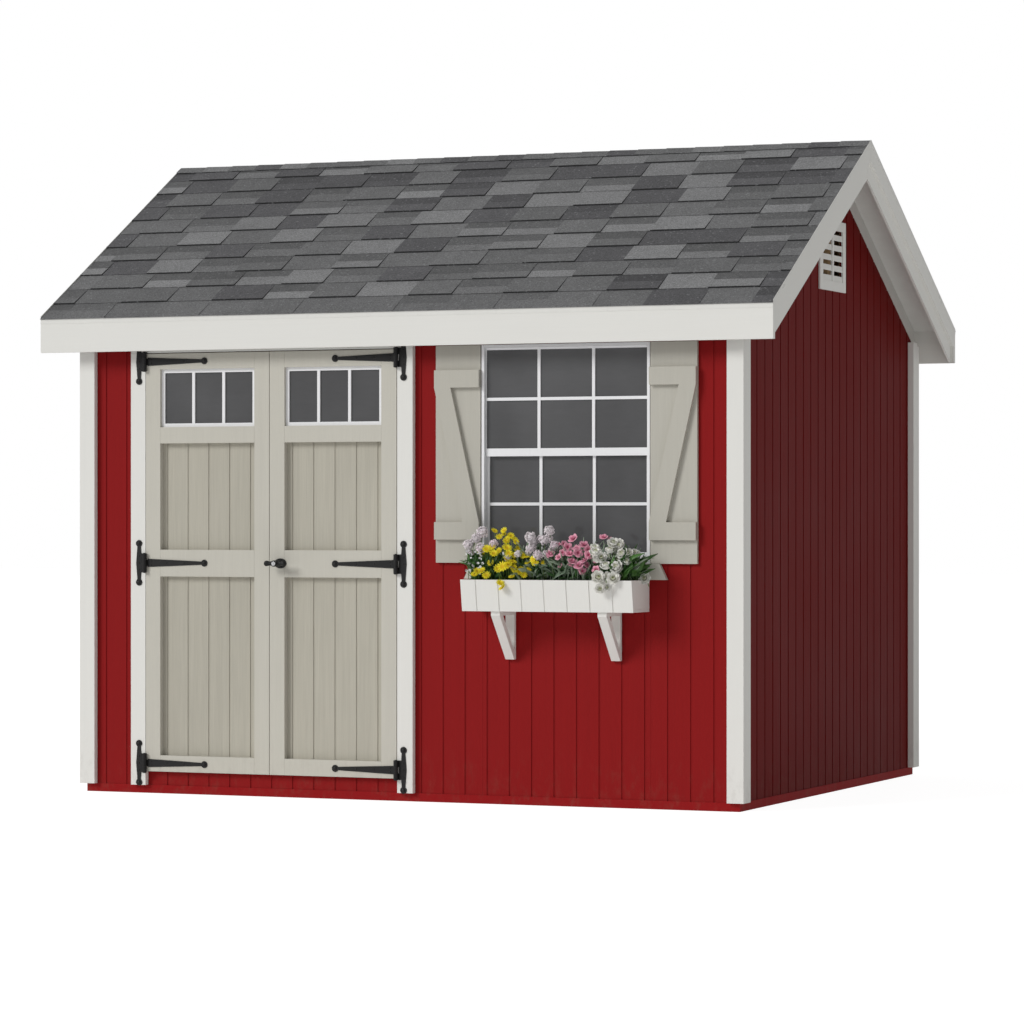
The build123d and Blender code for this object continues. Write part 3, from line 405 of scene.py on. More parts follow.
# ---- surfaces ---------------------------------------------------------------------
def closed_sheet(top, bottom):
    """A thin solid between two grids of points of one shape: both grids and a rim that joins their edges."""
    rows, columns = top.shape[:2]
    points = np.concatenate((top.reshape(-1, 3), bottom.reshape(-1, 3)))
    at = np.arange(rows * columns).reshape(rows, columns)
    quads = np.stack((at[:-1, :-1], at[1:, :-1], at[1:, 1:], at[:-1, 1:]), -1).reshape(-1, 4)
    edge = np.concatenate((at[:-1, 0], at[-1, :-1], at[:0:-1, -1], at[0, :0:-1]))
    after = np.roll(edge, -1)
    half = rows * columns
    rim = np.stack((after, edge, edge + half, after + half), -1)
    return points, np.concatenate((quads, quads[:, ::-1] + half, rim))


def revolved(profile, sides):
    """A profile of radius and height turned about its axis, closed at both ends where the radius is nought."""
    profile = np.asarray(profile, float)
    angle = np.arange(sides) * (2 * pi / sides)
    ring = np.stack((np.cos(angle), np.sin(angle)), -1)
    body = profile[1:-1]
    points = np.concatenate((
        [(0, 0, profile[0, 1])],
        np.concatenate((
            (body[:, None, :1] * ring[None]).reshape(-1, 2), np.repeat(body[:, 1], sides)[:, None]), 1),
        [(0, 0, profile[-1, 1])]))
    at = 1 + np.arange(len(body) * sides).reshape(len(body), sides)
    turned = np.roll(at, -1, axis=1)
    quads = np.stack((at[:-1], turned[:-1], turned[1:], at[1:]), -1).reshape(-1, 4)
    none = np.full(sides, -1)
    first = np.stack((turned[0], at[0], np.zeros(sides, int), none), -1)
    last = np.stack((at[-1], turned[-1], np.full(sides, len(points) - 1), none), -1)
    return points, np.concatenate((quads, first, last))


def facing(directions, rolls):
    """Axes whose third one points along each direction and whose other two are rolled about it."""
    ahead = directions / np.linalg.norm(directions, axis=-1, keepdims=True)
    helper = np.where(np.abs(ahead[..., 2:]) < 0.9, np.array((0.0, 0.0, 1.0)), np.array((1.0, 0.0, 0.0)))
    side = np.cross(helper, ahead)
    side /= np.linalg.norm(side, axis=-1, keepdims=True)
    up = np.cross(ahead, side)
    c, s = np.cos(rolls)[..., None], np.sin(rolls)[..., None]
    return np.stack((side * c + up * s, up * c - side * s, ahead), axis=-1)


class Sheaf:
    """Surfaces gathered for one mesh, with a colour for each point."""

    def __init__(self):
        self.points, self.faces, self.tints, self.kinds = [], [], [], []
        self.count = 0

    def add(self, shape, tint, kind=0):
        """Adds one shape. The tint is one colour or one for each point."""
        points, faces = shape
        self.points.append(points)
        self.faces.append(np.where(faces < 0, -1, faces + self.count))
        self.tints.append(np.broadcast_to(np.asarray(tint, float), points.shape))
        self.kinds.append(np.full(len(faces), kind))
        self.count += len(points)

    def copies(self, shape, places, axes, sizes, tints, kind=0):
        """Adds copies: each is the shape times its size, turned by its axes and moved to its place."""
        points, faces = shape
        number = len(places)
        sizes = np.broadcast_to(np.asarray(sizes, float), (number,))
        moved = places[:, None] + np.einsum("nij,vj->nvi", axes, points) * sizes[:, None, None]
        steps = np.arange(number)[:, None, None] * len(points)
        every = np.where(faces[None] < 0, -1, faces[None] + steps).reshape(-1, 4)
        tints = np.asarray(tints, float)
        if tints.ndim == 2:
            tints = np.repeat(tints[:, None], len(points), axis=1)
        self.add((moved.reshape(-1, 3), every), tints.reshape(-1, 3), kind)

    def shape(self):
        return np.concatenate(self.points), np.concatenate(self.faces)

    def build(self, name, materials, body, slot, smooth=True):
        """Makes the mesh object, with its colours on its points, riding on a body of the frame."""
        points, faces = self.shape()
        used = faces >= 0
        sides = used.sum(1)
        corners = faces[used]
        mesh = bpy.data.meshes.new(name)
        mesh.vertices.add(len(points))
        mesh.vertices.foreach_set("co", points.astype(np.float32).ravel())
        mesh.loops.add(len(corners))
        mesh.loops.foreach_set("vertex_index", corners.astype(np.int32))
        mesh.polygons.add(len(faces))
        mesh.polygons.foreach_set("loop_start", np.concatenate(([0], np.cumsum(sides)[:-1])).astype(np.int32))
        mesh.polygons.foreach_set("loop_total", sides.astype(np.int32))
        for material in materials:
            mesh.materials.append(material)
        mesh.polygons.foreach_set("material_index", np.concatenate(self.kinds).astype(np.int32))
        mesh.update(calc_edges=True)
        tint = mesh.color_attributes.new("tint", "FLOAT_COLOR", "POINT")
        colours = np.ones((len(points), 4), np.float32)
        colours[:, :3] = np.concatenate(self.tints)
        tint.data.foreach_set("color", colours.ravel())
        if smooth:
            mesh.shade_smooth()
        else:
            mesh.shade_flat()
        piece = bpy.data.objects.new(name, mesh)
        bpy.context.scene.collection.objects.link(piece)
        if body:
            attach(piece, body)
        return piece


# ---- petals and leaves ----------------------------------------------------------------
def petal(width, cup, ruffle=0.0, inner=0.12, rows=5, columns=3):
    """A petal along +X: its width is the root of a sine, it rises with its length squared, its tip ruffles."""
    u, v = np.meshgrid(np.linspace(0, 1, rows), np.linspace(-1, 1, columns), indexing="ij")
    x = inner + (1 - inner) * u
    spread = width * np.sqrt(np.clip(np.sin(pi * (0.08 + 0.80 * u)), 0, 1))
    y = v * spread
    z = cup * x * x + 0.25 * cup * v * v * u + ruffle * u * np.cos(3 * pi * v)
    top = np.stack((x * (1 - 0.10 * v * v * u), y, z), -1)
    return closed_sheet(top, top - np.array((0.0, 0.0, 0.035)))


def whorl(shape, number, tilt, turn=0.0, size=1.0, rise=0.0):
    """Copies of a petal set evenly round +Z, each tipped up by the tilt."""
    angle = turn + np.arange(number) * (2 * pi / number)
    c, s = np.cos(angle), np.sin(angle)
    ct, st = cos(tilt), sin(tilt)
    none = np.zeros(number)
    axes = np.stack((
        np.stack((c * ct, -s, -c * st), -1), np.stack((s * ct, c, -s * st), -1),
        np.stack((none + st, none, none + ct), -1)), 1)
    made = Sheaf()
    made.copies(shape, np.tile((0.0, 0.0, rise), (number, 1)), axes, size, np.zeros((number, 3)))
    return made.shape()


def blade(width, bend, rows=6, columns=3):
    """A leaf along +Z: its width swells and closes as a sine, its midrib is folded and it droops to +X."""
    u, v = np.meshgrid(np.linspace(0, 1, rows), np.linspace(-1, 1, columns), indexing="ij")
    spread = width * (0.06 + np.sin(pi * np.clip(u, 0, 0.985) ** 0.8))
    x = bend * u * u - 0.35 * spread * np.abs(v)
    top = np.stack((x, v * spread, u * (1 - 0.25 * bend * bend * u)), -1)
    return closed_sheet(top, top - np.array((0.012, 0.0, 0.0)))


def stems(starts, ends, lean, radius, rows=5):
    """Thin square tubes from starts to ends whose middles are pushed sideways by the lean."""
    t = np.linspace(0, 1, rows)[None, :, None]
    path = starts[:, None] * (1 - t) + ends[:, None] * t + lean[:, None] * np.sin(pi * t)
    ring = np.array(((1, 0, 0), (0, 1, 0), (-1, 0, 0), (0, -1, 0)), float) * radius
    points = path[:, :, None] + ring[None, None]
    at = np.arange(points[..., 0].size).reshape(points.shape[:3])
    low, high = at[:, :-1], at[:, 1:]
    turned = np.roll(at, -1, axis=2)
    walls = np.stack((low, turned[:, :-1], turned[:, 1:], high), -1).reshape(-1, 4)
    caps = np.concatenate((at[:, 0, ::-1].reshape(-1, 4), at[:, -1].reshape(-1, 4)))
    return points.reshape(-1, 3), np.concatenate((walls, caps))


def sphere_points(number):
    """Directions spread evenly over a ball on a golden spiral."""
    i = np.arange(number) + 0.5
    z = 1 - 2 * i / number
    angle = i * (pi * (1 + 5 ** 0.5))
    r = np.sqrt(1 - z * z)
    return np.stack((r * np.cos(angle), r * np.sin(angle), z), -1)


def graded(shape, inner, outer, start, stop):
    """A colour for each point that runs from inner to outer with the distance from the axis."""
    away = np.linalg.norm(shape[0][:, :2], axis=1)
    share = np.clip((away - start) / (stop - start), 0, 1)[:, None]
    return np.asarray(inner) * (1 - share) + np.asarray(outer) * share


# ---- the window box ------------------------------------------------------------------------
def bed():
    """Left end, front, back and top of the soil, from its solid in the frame."""
    low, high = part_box("potting_soil")
    return low.x, low.y, high.y, high.z


def from_box(rows):
    """Places given in millimetres from the box's front left top corner: along it, back from it and up."""
    low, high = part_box("box_boards")
    offsets = np.asarray(rows, float)[:, :3] / 1000
    return np.array((low.x, low.y, high.z)) + offsets


def with_buds(rows, rng, number, size):
    """The rows of a table and smaller blooms beside and behind some of them."""
    rows = np.asarray(rows, float)
    more = rows[rng.integers(0, len(rows), number)].copy()
    more[:, :3] += rng.normal(0, 1, (number, 3)) * np.array((17.0, 7.0, 13.0)) + np.array((0.0, 14.0, -7.0))
    more[:, 2] = np.where(more[:, 1] > 4.0, np.maximum(more[:, 2], 12.0), more[:, 2])
    more[:, 3] *= size * rng.uniform(0.85, 1.15, number)
    return np.concatenate((rows, more))


def look(rng, number, spread=0.45):
    """Directions that face mostly forward and up."""
    return np.array((0.25, -0.80, 0.62)) + rng.normal(0, spread, (number, 3))


def leaves(sheaf, rng, rng_x, number, size, width, colours, rise=0.55, splay=0.75, high=0.0):
    """Leaves that rise from the soil, or from twigs up to a height, within a range along the box."""
    left, front, back, top = bed()
    roots = np.stack((
        rng.uniform(rng_x[0], rng_x[1], number) / 1000 + left, rng.uniform(front + 0.025, back - 0.03, number),
        np.full(number, top) + rng.uniform(-0.004, 0.5, number) * size + rng.random(number) * high), -1)
    ways = np.stack((
        rng.normal(0, splay, number), rng.normal(-0.12, splay * 0.7, number), rise + rng.random(number)), -1)
    axes = facing(ways, rng.uniform(0, 2 * pi, number))
    colours = np.asarray(colours, float)
    share = rng.random(number)[:, None]
    tints = (colours[0] * (1 - share) + colours[1] * share) * rng.uniform(0.75, 1.2, (number, 1))
    sheaf.copies(blade(width, 0.5), roots, axes, size * rng.uniform(0.6, 1.25, number), tints)


def stalks(sheaf, rng, heads, colour, radius):
    """A stem from the soil to each flower head."""
    _, front, back, top = bed()
    feet = heads.copy()
    feet[:, 0] += rng.normal(0, 0.012, len(heads))
    feet[:, 1] = np.clip(heads[:, 1] + rng.uniform(0.0, 0.035, len(heads)), front + 0.03, back - 0.03)
    feet[:, 2] = top - 0.004
    lean = rng.normal(0, 0.007, heads.shape)
    lean[:, 2] = np.where(heads[:, 2] < top + 0.05, 0.045, 0.0)
    sheaf.add(stems(feet, heads, lean, radius), colour)


class ShedPiece:
    """Shared by the operators of the shed."""

    bl_options = {"REGISTER", "UNDO"}

    @classmethod
    def poll(cls, context):
        return context.scene is not None


class SHED_OT_finishes(ShedPiece, bpy.types.Operator):
    """Give every part of the frame its finish"""

    bl_idname = "shed.finishes"
    bl_label = "Finishes"

    def execute(self, context):
        paints = context.scene.shed_paints
        trim, doors = tuple(paints.trim), tuple(paints.doors)
        finishes = {
            painted_wood("siding_red", tuple(paints.siding), "Z", 1.0, 0.16, 0.12, True): (
                "siding_front", "siding_rear"),
            # the side walls' red is deepened by painted shade
            painted_wood("gable_red_painted_shade", tuple(paints.gables), "Z", 1.0, 0.18, 0.12, True): ("siding_gables",),
            painted_wood("skirt_red", tuple(paints.skirt), "X", 0.6, 0.14, 0.18): ("base_skirt",),
            painted_wood("trim_white", trim, "Z", 0.6, 0.06, 0.18): (
                "corner_boards", "door_casing", "vent_frames", "vent_louvres"),
            painted_wood("eave_white", trim, "X", 0.6, 0.06): ("fascia_boards",),
            painted_wood("rake_white", trim, "Y", 0.6, 0.06): ("rake_boards", "rake_mouldings"),
            painted_wood("box_white", trim, "Z", 0.7, 0.07): ("box_boards", "box_brackets"),
            painted_wood("door_greige", doors, "Z", 1.0, 0.17, 0.12): ("left_door_frame", "right_door_frame"),
            painted_wood("shutter_greige", tuple(SHUTTER_SHADE * c for c in doors), "Z", 1.0, 0.17): (
                "shutters",),
            painted_wood("panel_greige", (0.455, 0.432, 0.365), "Z", 1.5, 0.42, 0.12): (
                "left_door_panel", "right_door_panel"),
            painted_wood("sill_greige", doors, "X", 0.8, 0.14): ("sill_board",),
            moulded_white("sash_white", tuple(paints.sashes)): (
                "window_frame", "upper_sash", "lower_sash", "left_door_light", "right_door_light"),
            moulded_white("drip_white", trim): ("drip_edges",),
            raw_timber("timber_upright", "Z"): (
                "wall_studs", "opening_frames", "left_door_backing", "right_door_backing"),
            raw_timber("timber_along", "X"): ("wall_plates", "ridge_board"),
            raw_timber("timber_across", "Y"): ("floor_frame", "collar_ties"),
            raw_timber("rafter_timber", "Y", trim): ("rafters",),
            plywood(): ("floor_deck",),
            strand_board(trim): ("roof_sheathing",),
            powder_coat("black_coat", tuple(paints.hardware)): (
                "hinge_jamb_leaves", "hinge_pins", "left_hinge_straps", "right_hinge_straps", "lock_plate",
                "door_handle"),
            bright_metal("zinc", (0.62, 0.62, 0.64), 0.38, "Z", 0.16): (
                "bolt_guides", "lower_bolt", "upper_bolt", "latch_cam"),
            bright_metal("chrome", (0.86, 0.86, 0.87), 0.16, "Z"): ("key_plug",),
            bright_metal("mill_aluminium", (0.68, 0.68, 0.69), 0.34, "X"): ("threshold",),
            pane_painted_room_shade(tuple(paints.glass)): (
                "upper_panes", "lower_panes", "left_door_glass", "right_door_glass"),
        }
        for material, names in finishes.items():
            for name in names:
                for place in frame["nodes"][name].material_slots:
                    place.material = material
        return {"FINISHED"}


def slope_points(along, down, lift, side, ridge):
    """Points on a roof slope: along the ridge, down the slope from it and lifted square to it."""
    y = side * (down * cos(SLOPE) + lift * sin(SLOPE))
    z = ridge - down * sin(SLOPE) + lift * cos(SLOPE)
    return np.stack(np.broadcast_arrays(along, y, z), -1)


def wedges(left, right, head, butt, low, high, side, ridge):
    """Flat shingles between two ends, thin at the head and full at the butt: 8 corners and 6 faces each."""
    along = np.stack((left, right, right, left), 1)
    down = np.stack((head, head, butt, butt), 1)
    thin = np.stack((low[0], low[0], low[1], low[1]), 1)
    full = np.stack((high[0], high[0], high[1], high[1]), 1)
    points = np.concatenate((
        slope_points(along, down, thin, side, ridge), slope_points(along, down, full, side, ridge)), 1)
    faces = np.array(((0, 1, 2, 3), (4, 7, 6, 5), (0, 4, 5, 1), (1, 5, 6, 2), (2, 6, 7, 3), (3, 7, 4, 0)))
    if side < 0:
        faces = faces[:, ::-1]
    return points, faces


def lay(sheaf, shape, tints):
    """Adds wedges to a sheaf. The tints are one colour for all or one for each wedge."""
    points, faces = shape
    number = len(points)
    every = (faces[None] + np.arange(number)[:, None, None] * 8).reshape(-1, 4)
    sheaf.add((points.reshape(-1, 3), every), tints if np.ndim(tints) == 1 else np.repeat(tints, 8, 0))


class SHED_OT_shingles(ShedPiece, bpy.types.Operator):
    """Lay the laminated shingles: raised tabs and gaps that step by half a period from course to course"""

    bl_idname = "shed.shingles"
    bl_label = "Shingles"

    def execute(self, context):
        roof = context.scene.shed_roofing
        low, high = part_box("shingles")
        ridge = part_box("roof_sheathing")[1].z + SHEATHING_PEAK
        run = -low.y / cos(SLOPE)
        courses = round(run / roof.exposure)
        exposure = run / courses
        granule = granules()
        palette = np.array((tuple(roof.dark), tuple(roof.middle), tuple(roof.light)))
        # near-black of the slips at the tabs' edges: partly the tarry cut edge, partly painted shadow
        cut_edge_and_shadow_tint = np.array((0.045, 0.045, 0.046))
        for side, name in ((-1, "shingles_front"), (1, "shingles_rear")):
            rng = np.random.default_rng(41 + side)
            sheaf = Sheaf()
            width = high.x - low.x
            number = int(width / roof.tab) + 3
            for course in range(courses):
                butt = run - course * exposure
                head = max(butt - exposure - roof.lap, 0.001)
                offset = roof.tab * (course % 2) + rng.normal(0, 0.012)
                edges = low.x - 1.5 * roof.tab + offset + np.arange(number + 2) * roof.tab
                edges = edges + rng.normal(0, 0.010, len(edges))
                edges = np.clip(edges, low.x, high.x)
                left, right = edges[:-1], edges[1:]
                kept = right - left > 0.006
                raised = (np.arange(len(left)) % 2 == 0)[kept]
                left, right = left[kept], right[kept]
                sizes = np.ones(len(left))
                heads, butts = sizes * head, sizes * butt
                under = roof.head_lift + (roof.gap_lift - roof.head_lift) * exposure / (exposure + roof.lap)
                base = sizes * (0.0 if course == 0 else under - 0.0006)
                lift = np.where(raised, roof.tab_lift, roof.gap_lift)
                if course == 0:
                    lift = lift * 0.6
                pick = rng.choice(3, len(left), p=(0.26, 0.50, 0.24))
                tone_now = palette[pick] * rng.uniform(0.90, 1.10, (len(left), 1))
                split = rng.random(len(left)) < np.where(raised, 0.25, 0.6)
                lay(sheaf, wedges(
                    left, right, heads, butts, (sizes * 0.0003, base), (sizes * roof.head_lift, lift), side,
                    ridge), tone_now)
                # a darker band across the upper part of some pieces, laid on their tops
                if split.any():
                    up = butts[split] - exposure * rng.uniform(0.42, 0.60, split.sum())
                    share_up = (butts[split] - up) / (exposure + roof.lap)
                    high_up = lift[split] + (roof.head_lift - lift[split]) * share_up + 0.0005
                    high_top = sizes[split] * roof.head_lift + 0.0005
                    darker = np.minimum(tone_now[split], palette[1]) * rng.uniform(0.68, 0.86, (split.sum(), 1))
                    lay(sheaf, wedges(
                        left[split] + 0.001, right[split] - 0.001, heads[split], up,
                        (high_top - 0.001, high_up - 0.001), (high_top, high_up), side, ridge), darker)
                # dark thin slips on the butt and on the right end of each raised tab, on the right only: partly the
                # tarry cut edge, partly painted shadow under the butt and beside the right end
                cut = raised & (course > 0)
                if cut.any():
                    lay(sheaf, wedges(
                        left[cut], right[cut], butts[cut] - 0.0004, butts[cut] + 0.0010, (base[cut], base[cut]),
                        (lift[cut] - 0.0012, lift[cut] - 0.0012), side, ridge), cut_edge_and_shadow_tint)
                inside = cut & (right < high.x - 0.001)
                if inside.any():
                    end = right[inside]
                    lay(sheaf, wedges(
                        end - 0.0003, end + 0.0010, butts[inside] - exposure, butts[inside],
                        (np.full(inside.sum(), 0.002), base[inside]),
                        (lift[inside] + (roof.head_lift - lift[inside]) * exposure / (exposure + roof.lap),
                         lift[inside] - 0.0012), side, ridge), cut_edge_and_shadow_tint)
            piece = sheaf.build(name, [granule], "shell", "grey_shingles", smooth=False)
            if side < 0:
                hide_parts("shingles")
        return {"FINISHED"}


class SHED_OT_ridge_caps(ShedPiece, bpy.types.Operator):
    """Fold the cap shingles over the ridge, each lapping the next"""

    bl_idname = "shed.ridge_caps"
    bl_label = "Ridge Caps"

    def execute(self, context):
        roof = context.scene.shed_roofing
        low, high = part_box("ridge_caps")
        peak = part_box("roof_sheathing")[1].z + SHEATHING_PEAK
        wing = high.y / cos(SLOPE)
        number = round((high.x - low.x) / roof.exposure)
        step = (high.x - low.x) / number
        rng = np.random.default_rng(7)
        down = np.array((-1.0, -0.6, -0.22, -0.08, 0.0, 0.08, 0.22, 0.6, 1.0)) * wing
        soften = 0.004 * np.exp(-(down / 0.012) ** 2)
        sheaf = Sheaf()
        palette = np.array((tuple(roof.dark), tuple(roof.middle), tuple(roof.light)))
        for i in range(number):
            start = low.x + i * step
            ends = np.array((start, min(start + step + 0.02, high.x)))
            lift = np.array((0.0118, 0.0098))
            y = down[None] * cos(SLOPE)
            z = peak - np.abs(down)[None] * sin(SLOPE) + (lift[:, None] - soften[None]) / cos(SLOPE)
            top = np.stack((np.repeat(ends[:, None], len(down), 1), np.repeat(y, 2, 0), z), -1)
            bottom = top - np.array((0.0, 0.0, 0.0030))
            tint = palette[rng.choice(3, p=(0.25, 0.5, 0.25))] * rng.uniform(0.92, 1.05)
            sheaf.add(closed_sheet(top, bottom), tint)
        granule = bpy.data.materials["shingle_granules"]
        piece = sheaf.build("ridge_caps_laid", [granule], "shell", "grey_shingles", False)
        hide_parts("ridge_caps")
        return {"FINISHED"}


class SHED_OT_soil(ShedPiece, bpy.types.Operator):
    """Fill the flower box with lumpy potting mix"""

    bl_idname = "shed.soil"
    bl_label = "Potting Mix"

    def execute(self, context):
        low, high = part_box("potting_soil")
        rng = np.random.default_rng(3)
        x, y = np.meshgrid(np.linspace(low.x, high.x, 90), np.linspace(low.y, high.y, 26), indexing="ij")
        lumps = sum(
            a * np.sin(x * fx + p) * np.cos(y * fy + q)
            for a, fx, fy, p, q in zip(
                (0.0018, 0.0013, 0.0010, 0.0008), (95, 171, 263, 391), (120, 203, 287, 419),
                rng.uniform(0, 6, 4), rng.uniform(0, 6, 4)))
        top = np.stack((x, y, high.z - 0.003 + lumps), -1)
        bottom = np.stack((x, high.y + (y - high.y) * 0.9, np.full_like(x, low.z)), -1)
        sheaf = Sheaf()
        sheaf.add(closed_sheet(top, bottom), (0.03, 0.02, 0.015))
        piece = sheaf.build("potting_mix_bed", [potting_mix()], "shell", "soil")
        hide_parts("potting_soil")
        return {"FINISHED"}


GREEN = ((0.026, 0.090, 0.016), (0.075, 0.185, 0.036))
DEEP = ((0.016, 0.056, 0.015), (0.046, 0.115, 0.030))
SILVER = ((0.170, 0.240, 0.160), (0.330, 0.400, 0.300))
FRESH = ((0.120, 0.220, 0.046), (0.240, 0.360, 0.090))


class SHED_OT_greens(ShedPiece, bpy.types.Operator):
    """Plant the leafy clumps at the left end and in the middle"""

    bl_idname = "shed.greens"
    bl_label = "Greens"

    def execute(self, context):
        rng = np.random.default_rng(11)
        sheaf = Sheaf()
        leaves(sheaf, rng, (6, 92), 300, 0.058, 0.15, GREEN, 0.9, 0.55, 0.075)
        leaves(sheaf, rng, (10, 88), 120, 0.046, 0.17, DEEP, 0.9, 0.6, 0.085)
        leaves(sheaf, rng, (255, 470), 260, 0.080, 0.10, DEEP, 0.45, 0.9, 0.045)
        leaves(sheaf, rng, (250, 440), 90, 0.078, 0.14, SILVER, 0.35, 1.0, 0.050)
        leaves(sheaf, rng, (590, 742), 90, 0.085, 0.13, GREEN, 0.8, 0.7, 0.060)
        fleck = whorl(petal(0.40, 0.25, 0.0, 0.05, 3, 3), 5, 0.2)
        number = 46
        low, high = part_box("box_boards")
        spots = np.stack((
            rng.uniform(0.008, 0.100, number), rng.uniform(0.012, 0.050, number),
            rng.uniform(0.020, 0.125, number)), -1)
        sheaf.copies(
            fleck, np.array((low.x, low.y, high.z)) + spots, facing(look(rng, number), np.zeros(number)),
            rng.uniform(0.0045, 0.0075, number), np.full((number, 3), 0.86))
        piece = sheaf.build("leafy_clumps", [plant_skin("leaf_skin", 0.42, 0.3)], "shell", "foliage")
        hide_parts("plant_greens")
        return {"FINISHED"}


def bloom_patch(heads, rng, shape, tints, sizes, spread=0.45, ways=None):
    """A sheaf with one flower on each head, each turned its own way."""
    sheaf = Sheaf()
    ways = look(rng, len(heads), spread) if ways is None else ways
    axes = facing(ways, rng.uniform(0, 2 * pi, len(heads)))
    shade = rng.uniform(0.82, 1.08, (len(heads), 1, 1))
    sheaf.copies(shape, heads, axes, sizes, tints[None] * shade)
    return sheaf


def plant(name, node, sheaf, roughness, rng, heads, stalk, radius, patches):
    """Builds a plant's blooms, then its stalks and patches of leaves, in place of its solid in the frame."""
    skin = plant_skin(name + "_petals", roughness, 0.2)
    blooms = sheaf.build(name + "_blooms", [skin], "shell", "foliage")
    green = Sheaf()
    stalks(green, rng, heads, stalk, radius)
    for patch in patches:
        leaves(green, rng, *patch)
    green.build(name + "_leaves", [bpy.data.materials["leaf_skin"]], "shell", "foliage")
    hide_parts(node)


class SHED_OT_daisies(ShedPiece, bpy.types.Operator):
    """Plant the yellow daisies: two rings of narrow petals round a domed eye"""

    bl_idname = "shed.daisies"
    bl_label = "Daisies"

    def execute(self, context):
        size = context.scene.shed_planting.daisy
        rng = np.random.default_rng(23)
        flower, eye = Sheaf(), revolved(((0, -0.05), (0.22, 0.0), (0.24, 0.06), (0.16, 0.13), (0, 0.16)), 10)
        flower.add(whorl(petal(0.15, 0.16), 11, 0.10), (0, 0, 0))
        flower.add(whorl(petal(0.14, 0.22), 9, 0.30, 0.3, 0.72, 0.05), (0, 0, 0))
        flower.add(eye, (0, 0, 0))
        shape = flower.shape()
        tints = graded(shape, (0.70, 0.46, 0.006), (0.93, 0.82, 0.030), 0.2, 0.5)
        table = with_buds(DAISIES, rng, 30, 0.8)
        heads = from_box(table)
        scale = table[:, 3] * size
        sheaf = bloom_patch(heads, rng, shape, tints, scale, 0.35)
        plant("daisy", "plant_daisies", sheaf, 0.55, rng, heads, (0.10, 0.17, 0.03), 0.0013, (
            ((80, 260), 330, 0.072, 0.12, DEEP, 0.55, 0.75, 0.060),
            ((80, 260), 110, 0.070, 0.07, FRESH, 1.0, 0.50, 0.070)))
        return {"FINISHED"}


class SHED_OT_lilacs(ShedPiece, bpy.types.Operator):
    """Plant the pale pompoms: balls of small cupped florets on bare stems"""

    bl_idname = "shed.lilacs"
    bl_label = "Pompoms"

    def execute(self, context):
        size = context.scene.shed_planting.pompom
        rng = np.random.default_rng(31)
        floret = whorl(petal(0.38, 0.30, 0.05, 0.05, 3, 3), 4, 0.45)
        centre = graded(floret, (0.66, 0.60, 0.63), (0.96, 0.92, 0.93), 0.1, 0.6)
        ways = sphere_points(54)
        sheaf = Sheaf()
        table = with_buds(POMPOMS, rng, 9, 0.8)
        heads = from_box(table)
        for head, scale, warm in zip(heads, table[:, 3] * size, table[:, 4]):
            jitter = ways + rng.normal(0, 0.13, ways.shape)
            axes = facing(jitter, rng.uniform(0, 2 * pi, len(ways)))
            shade = rng.uniform(0.80, 1.15, (len(ways), 1, 1))
            blush = np.array((1.0, 1.0 - 0.10 * warm, 1.0 - 0.05 * warm))
            sheaf.copies(floret, head + jitter * scale * 0.76, axes, scale * 0.30, centre[None] * shade * blush)
            sheaf.copies(
                revolved(((0, -1), (0.75, -0.6), (0.95, 0.0), (0.75, 0.6), (0, 1)), 10), head[None],
                facing(np.array(((0.0, 0.0, 1.0),)), np.zeros(1)), scale * 0.72,
                np.array(((0.66, 0.63, 0.64),)))
        plant("pompom", "plant_lilacs", sheaf, 0.65, rng, heads, (0.13, 0.20, 0.06), 0.0015, (
            ((240, 400), 150, 0.090, 0.085, SILVER, 0.8, 0.6, 0.060),
            ((10, 120), 90, 0.080, 0.07, GREEN, 1.1, 0.4, 0.070)))
        return {"FINISHED"}


class SHED_OT_pinks(ShedPiece, bpy.types.Operator):
    """Plant the pinks: ruffled five-petalled discs over silvery grass"""

    bl_idname = "shed.pinks"
    bl_label = "Pinks"

    def execute(self, context):
        size = context.scene.shed_planting.pink
        rng = np.random.default_rng(43)
        flower = Sheaf()
        flower.add(whorl(petal(0.46, 0.18, 0.07, 0.05, 5, 7), 5, 0.12), (0, 0, 0))
        flower.add(whorl(petal(0.34, 0.30, 0.06, 0.05, 4, 5), 5, 0.42, 0.6, 0.66, 0.04), (0, 0, 0))
        shape = flower.shape()
        tints = graded(shape, (0.42, 0.030, 0.11), (0.88, 0.42, 0.54), 0.08, 0.60)
        table = with_buds(PINKS, rng, 12, 0.8)
        heads = from_box(table)
        sheaf = bloom_patch(heads, rng, shape, tints, table[:, 3] * size, 0.40)
        plant("pink", "plant_pinks", sheaf, 0.6, rng, heads, (0.22, 0.30, 0.20), 0.0014, (
            ((400, 610), 380, 0.095, 0.040, SILVER, 0.9, 0.6, 0.045),
            ((400, 610), 140, 0.070, 0.09, DEEP, 0.5, 0.8, 0.040)))
        return {"FINISHED"}


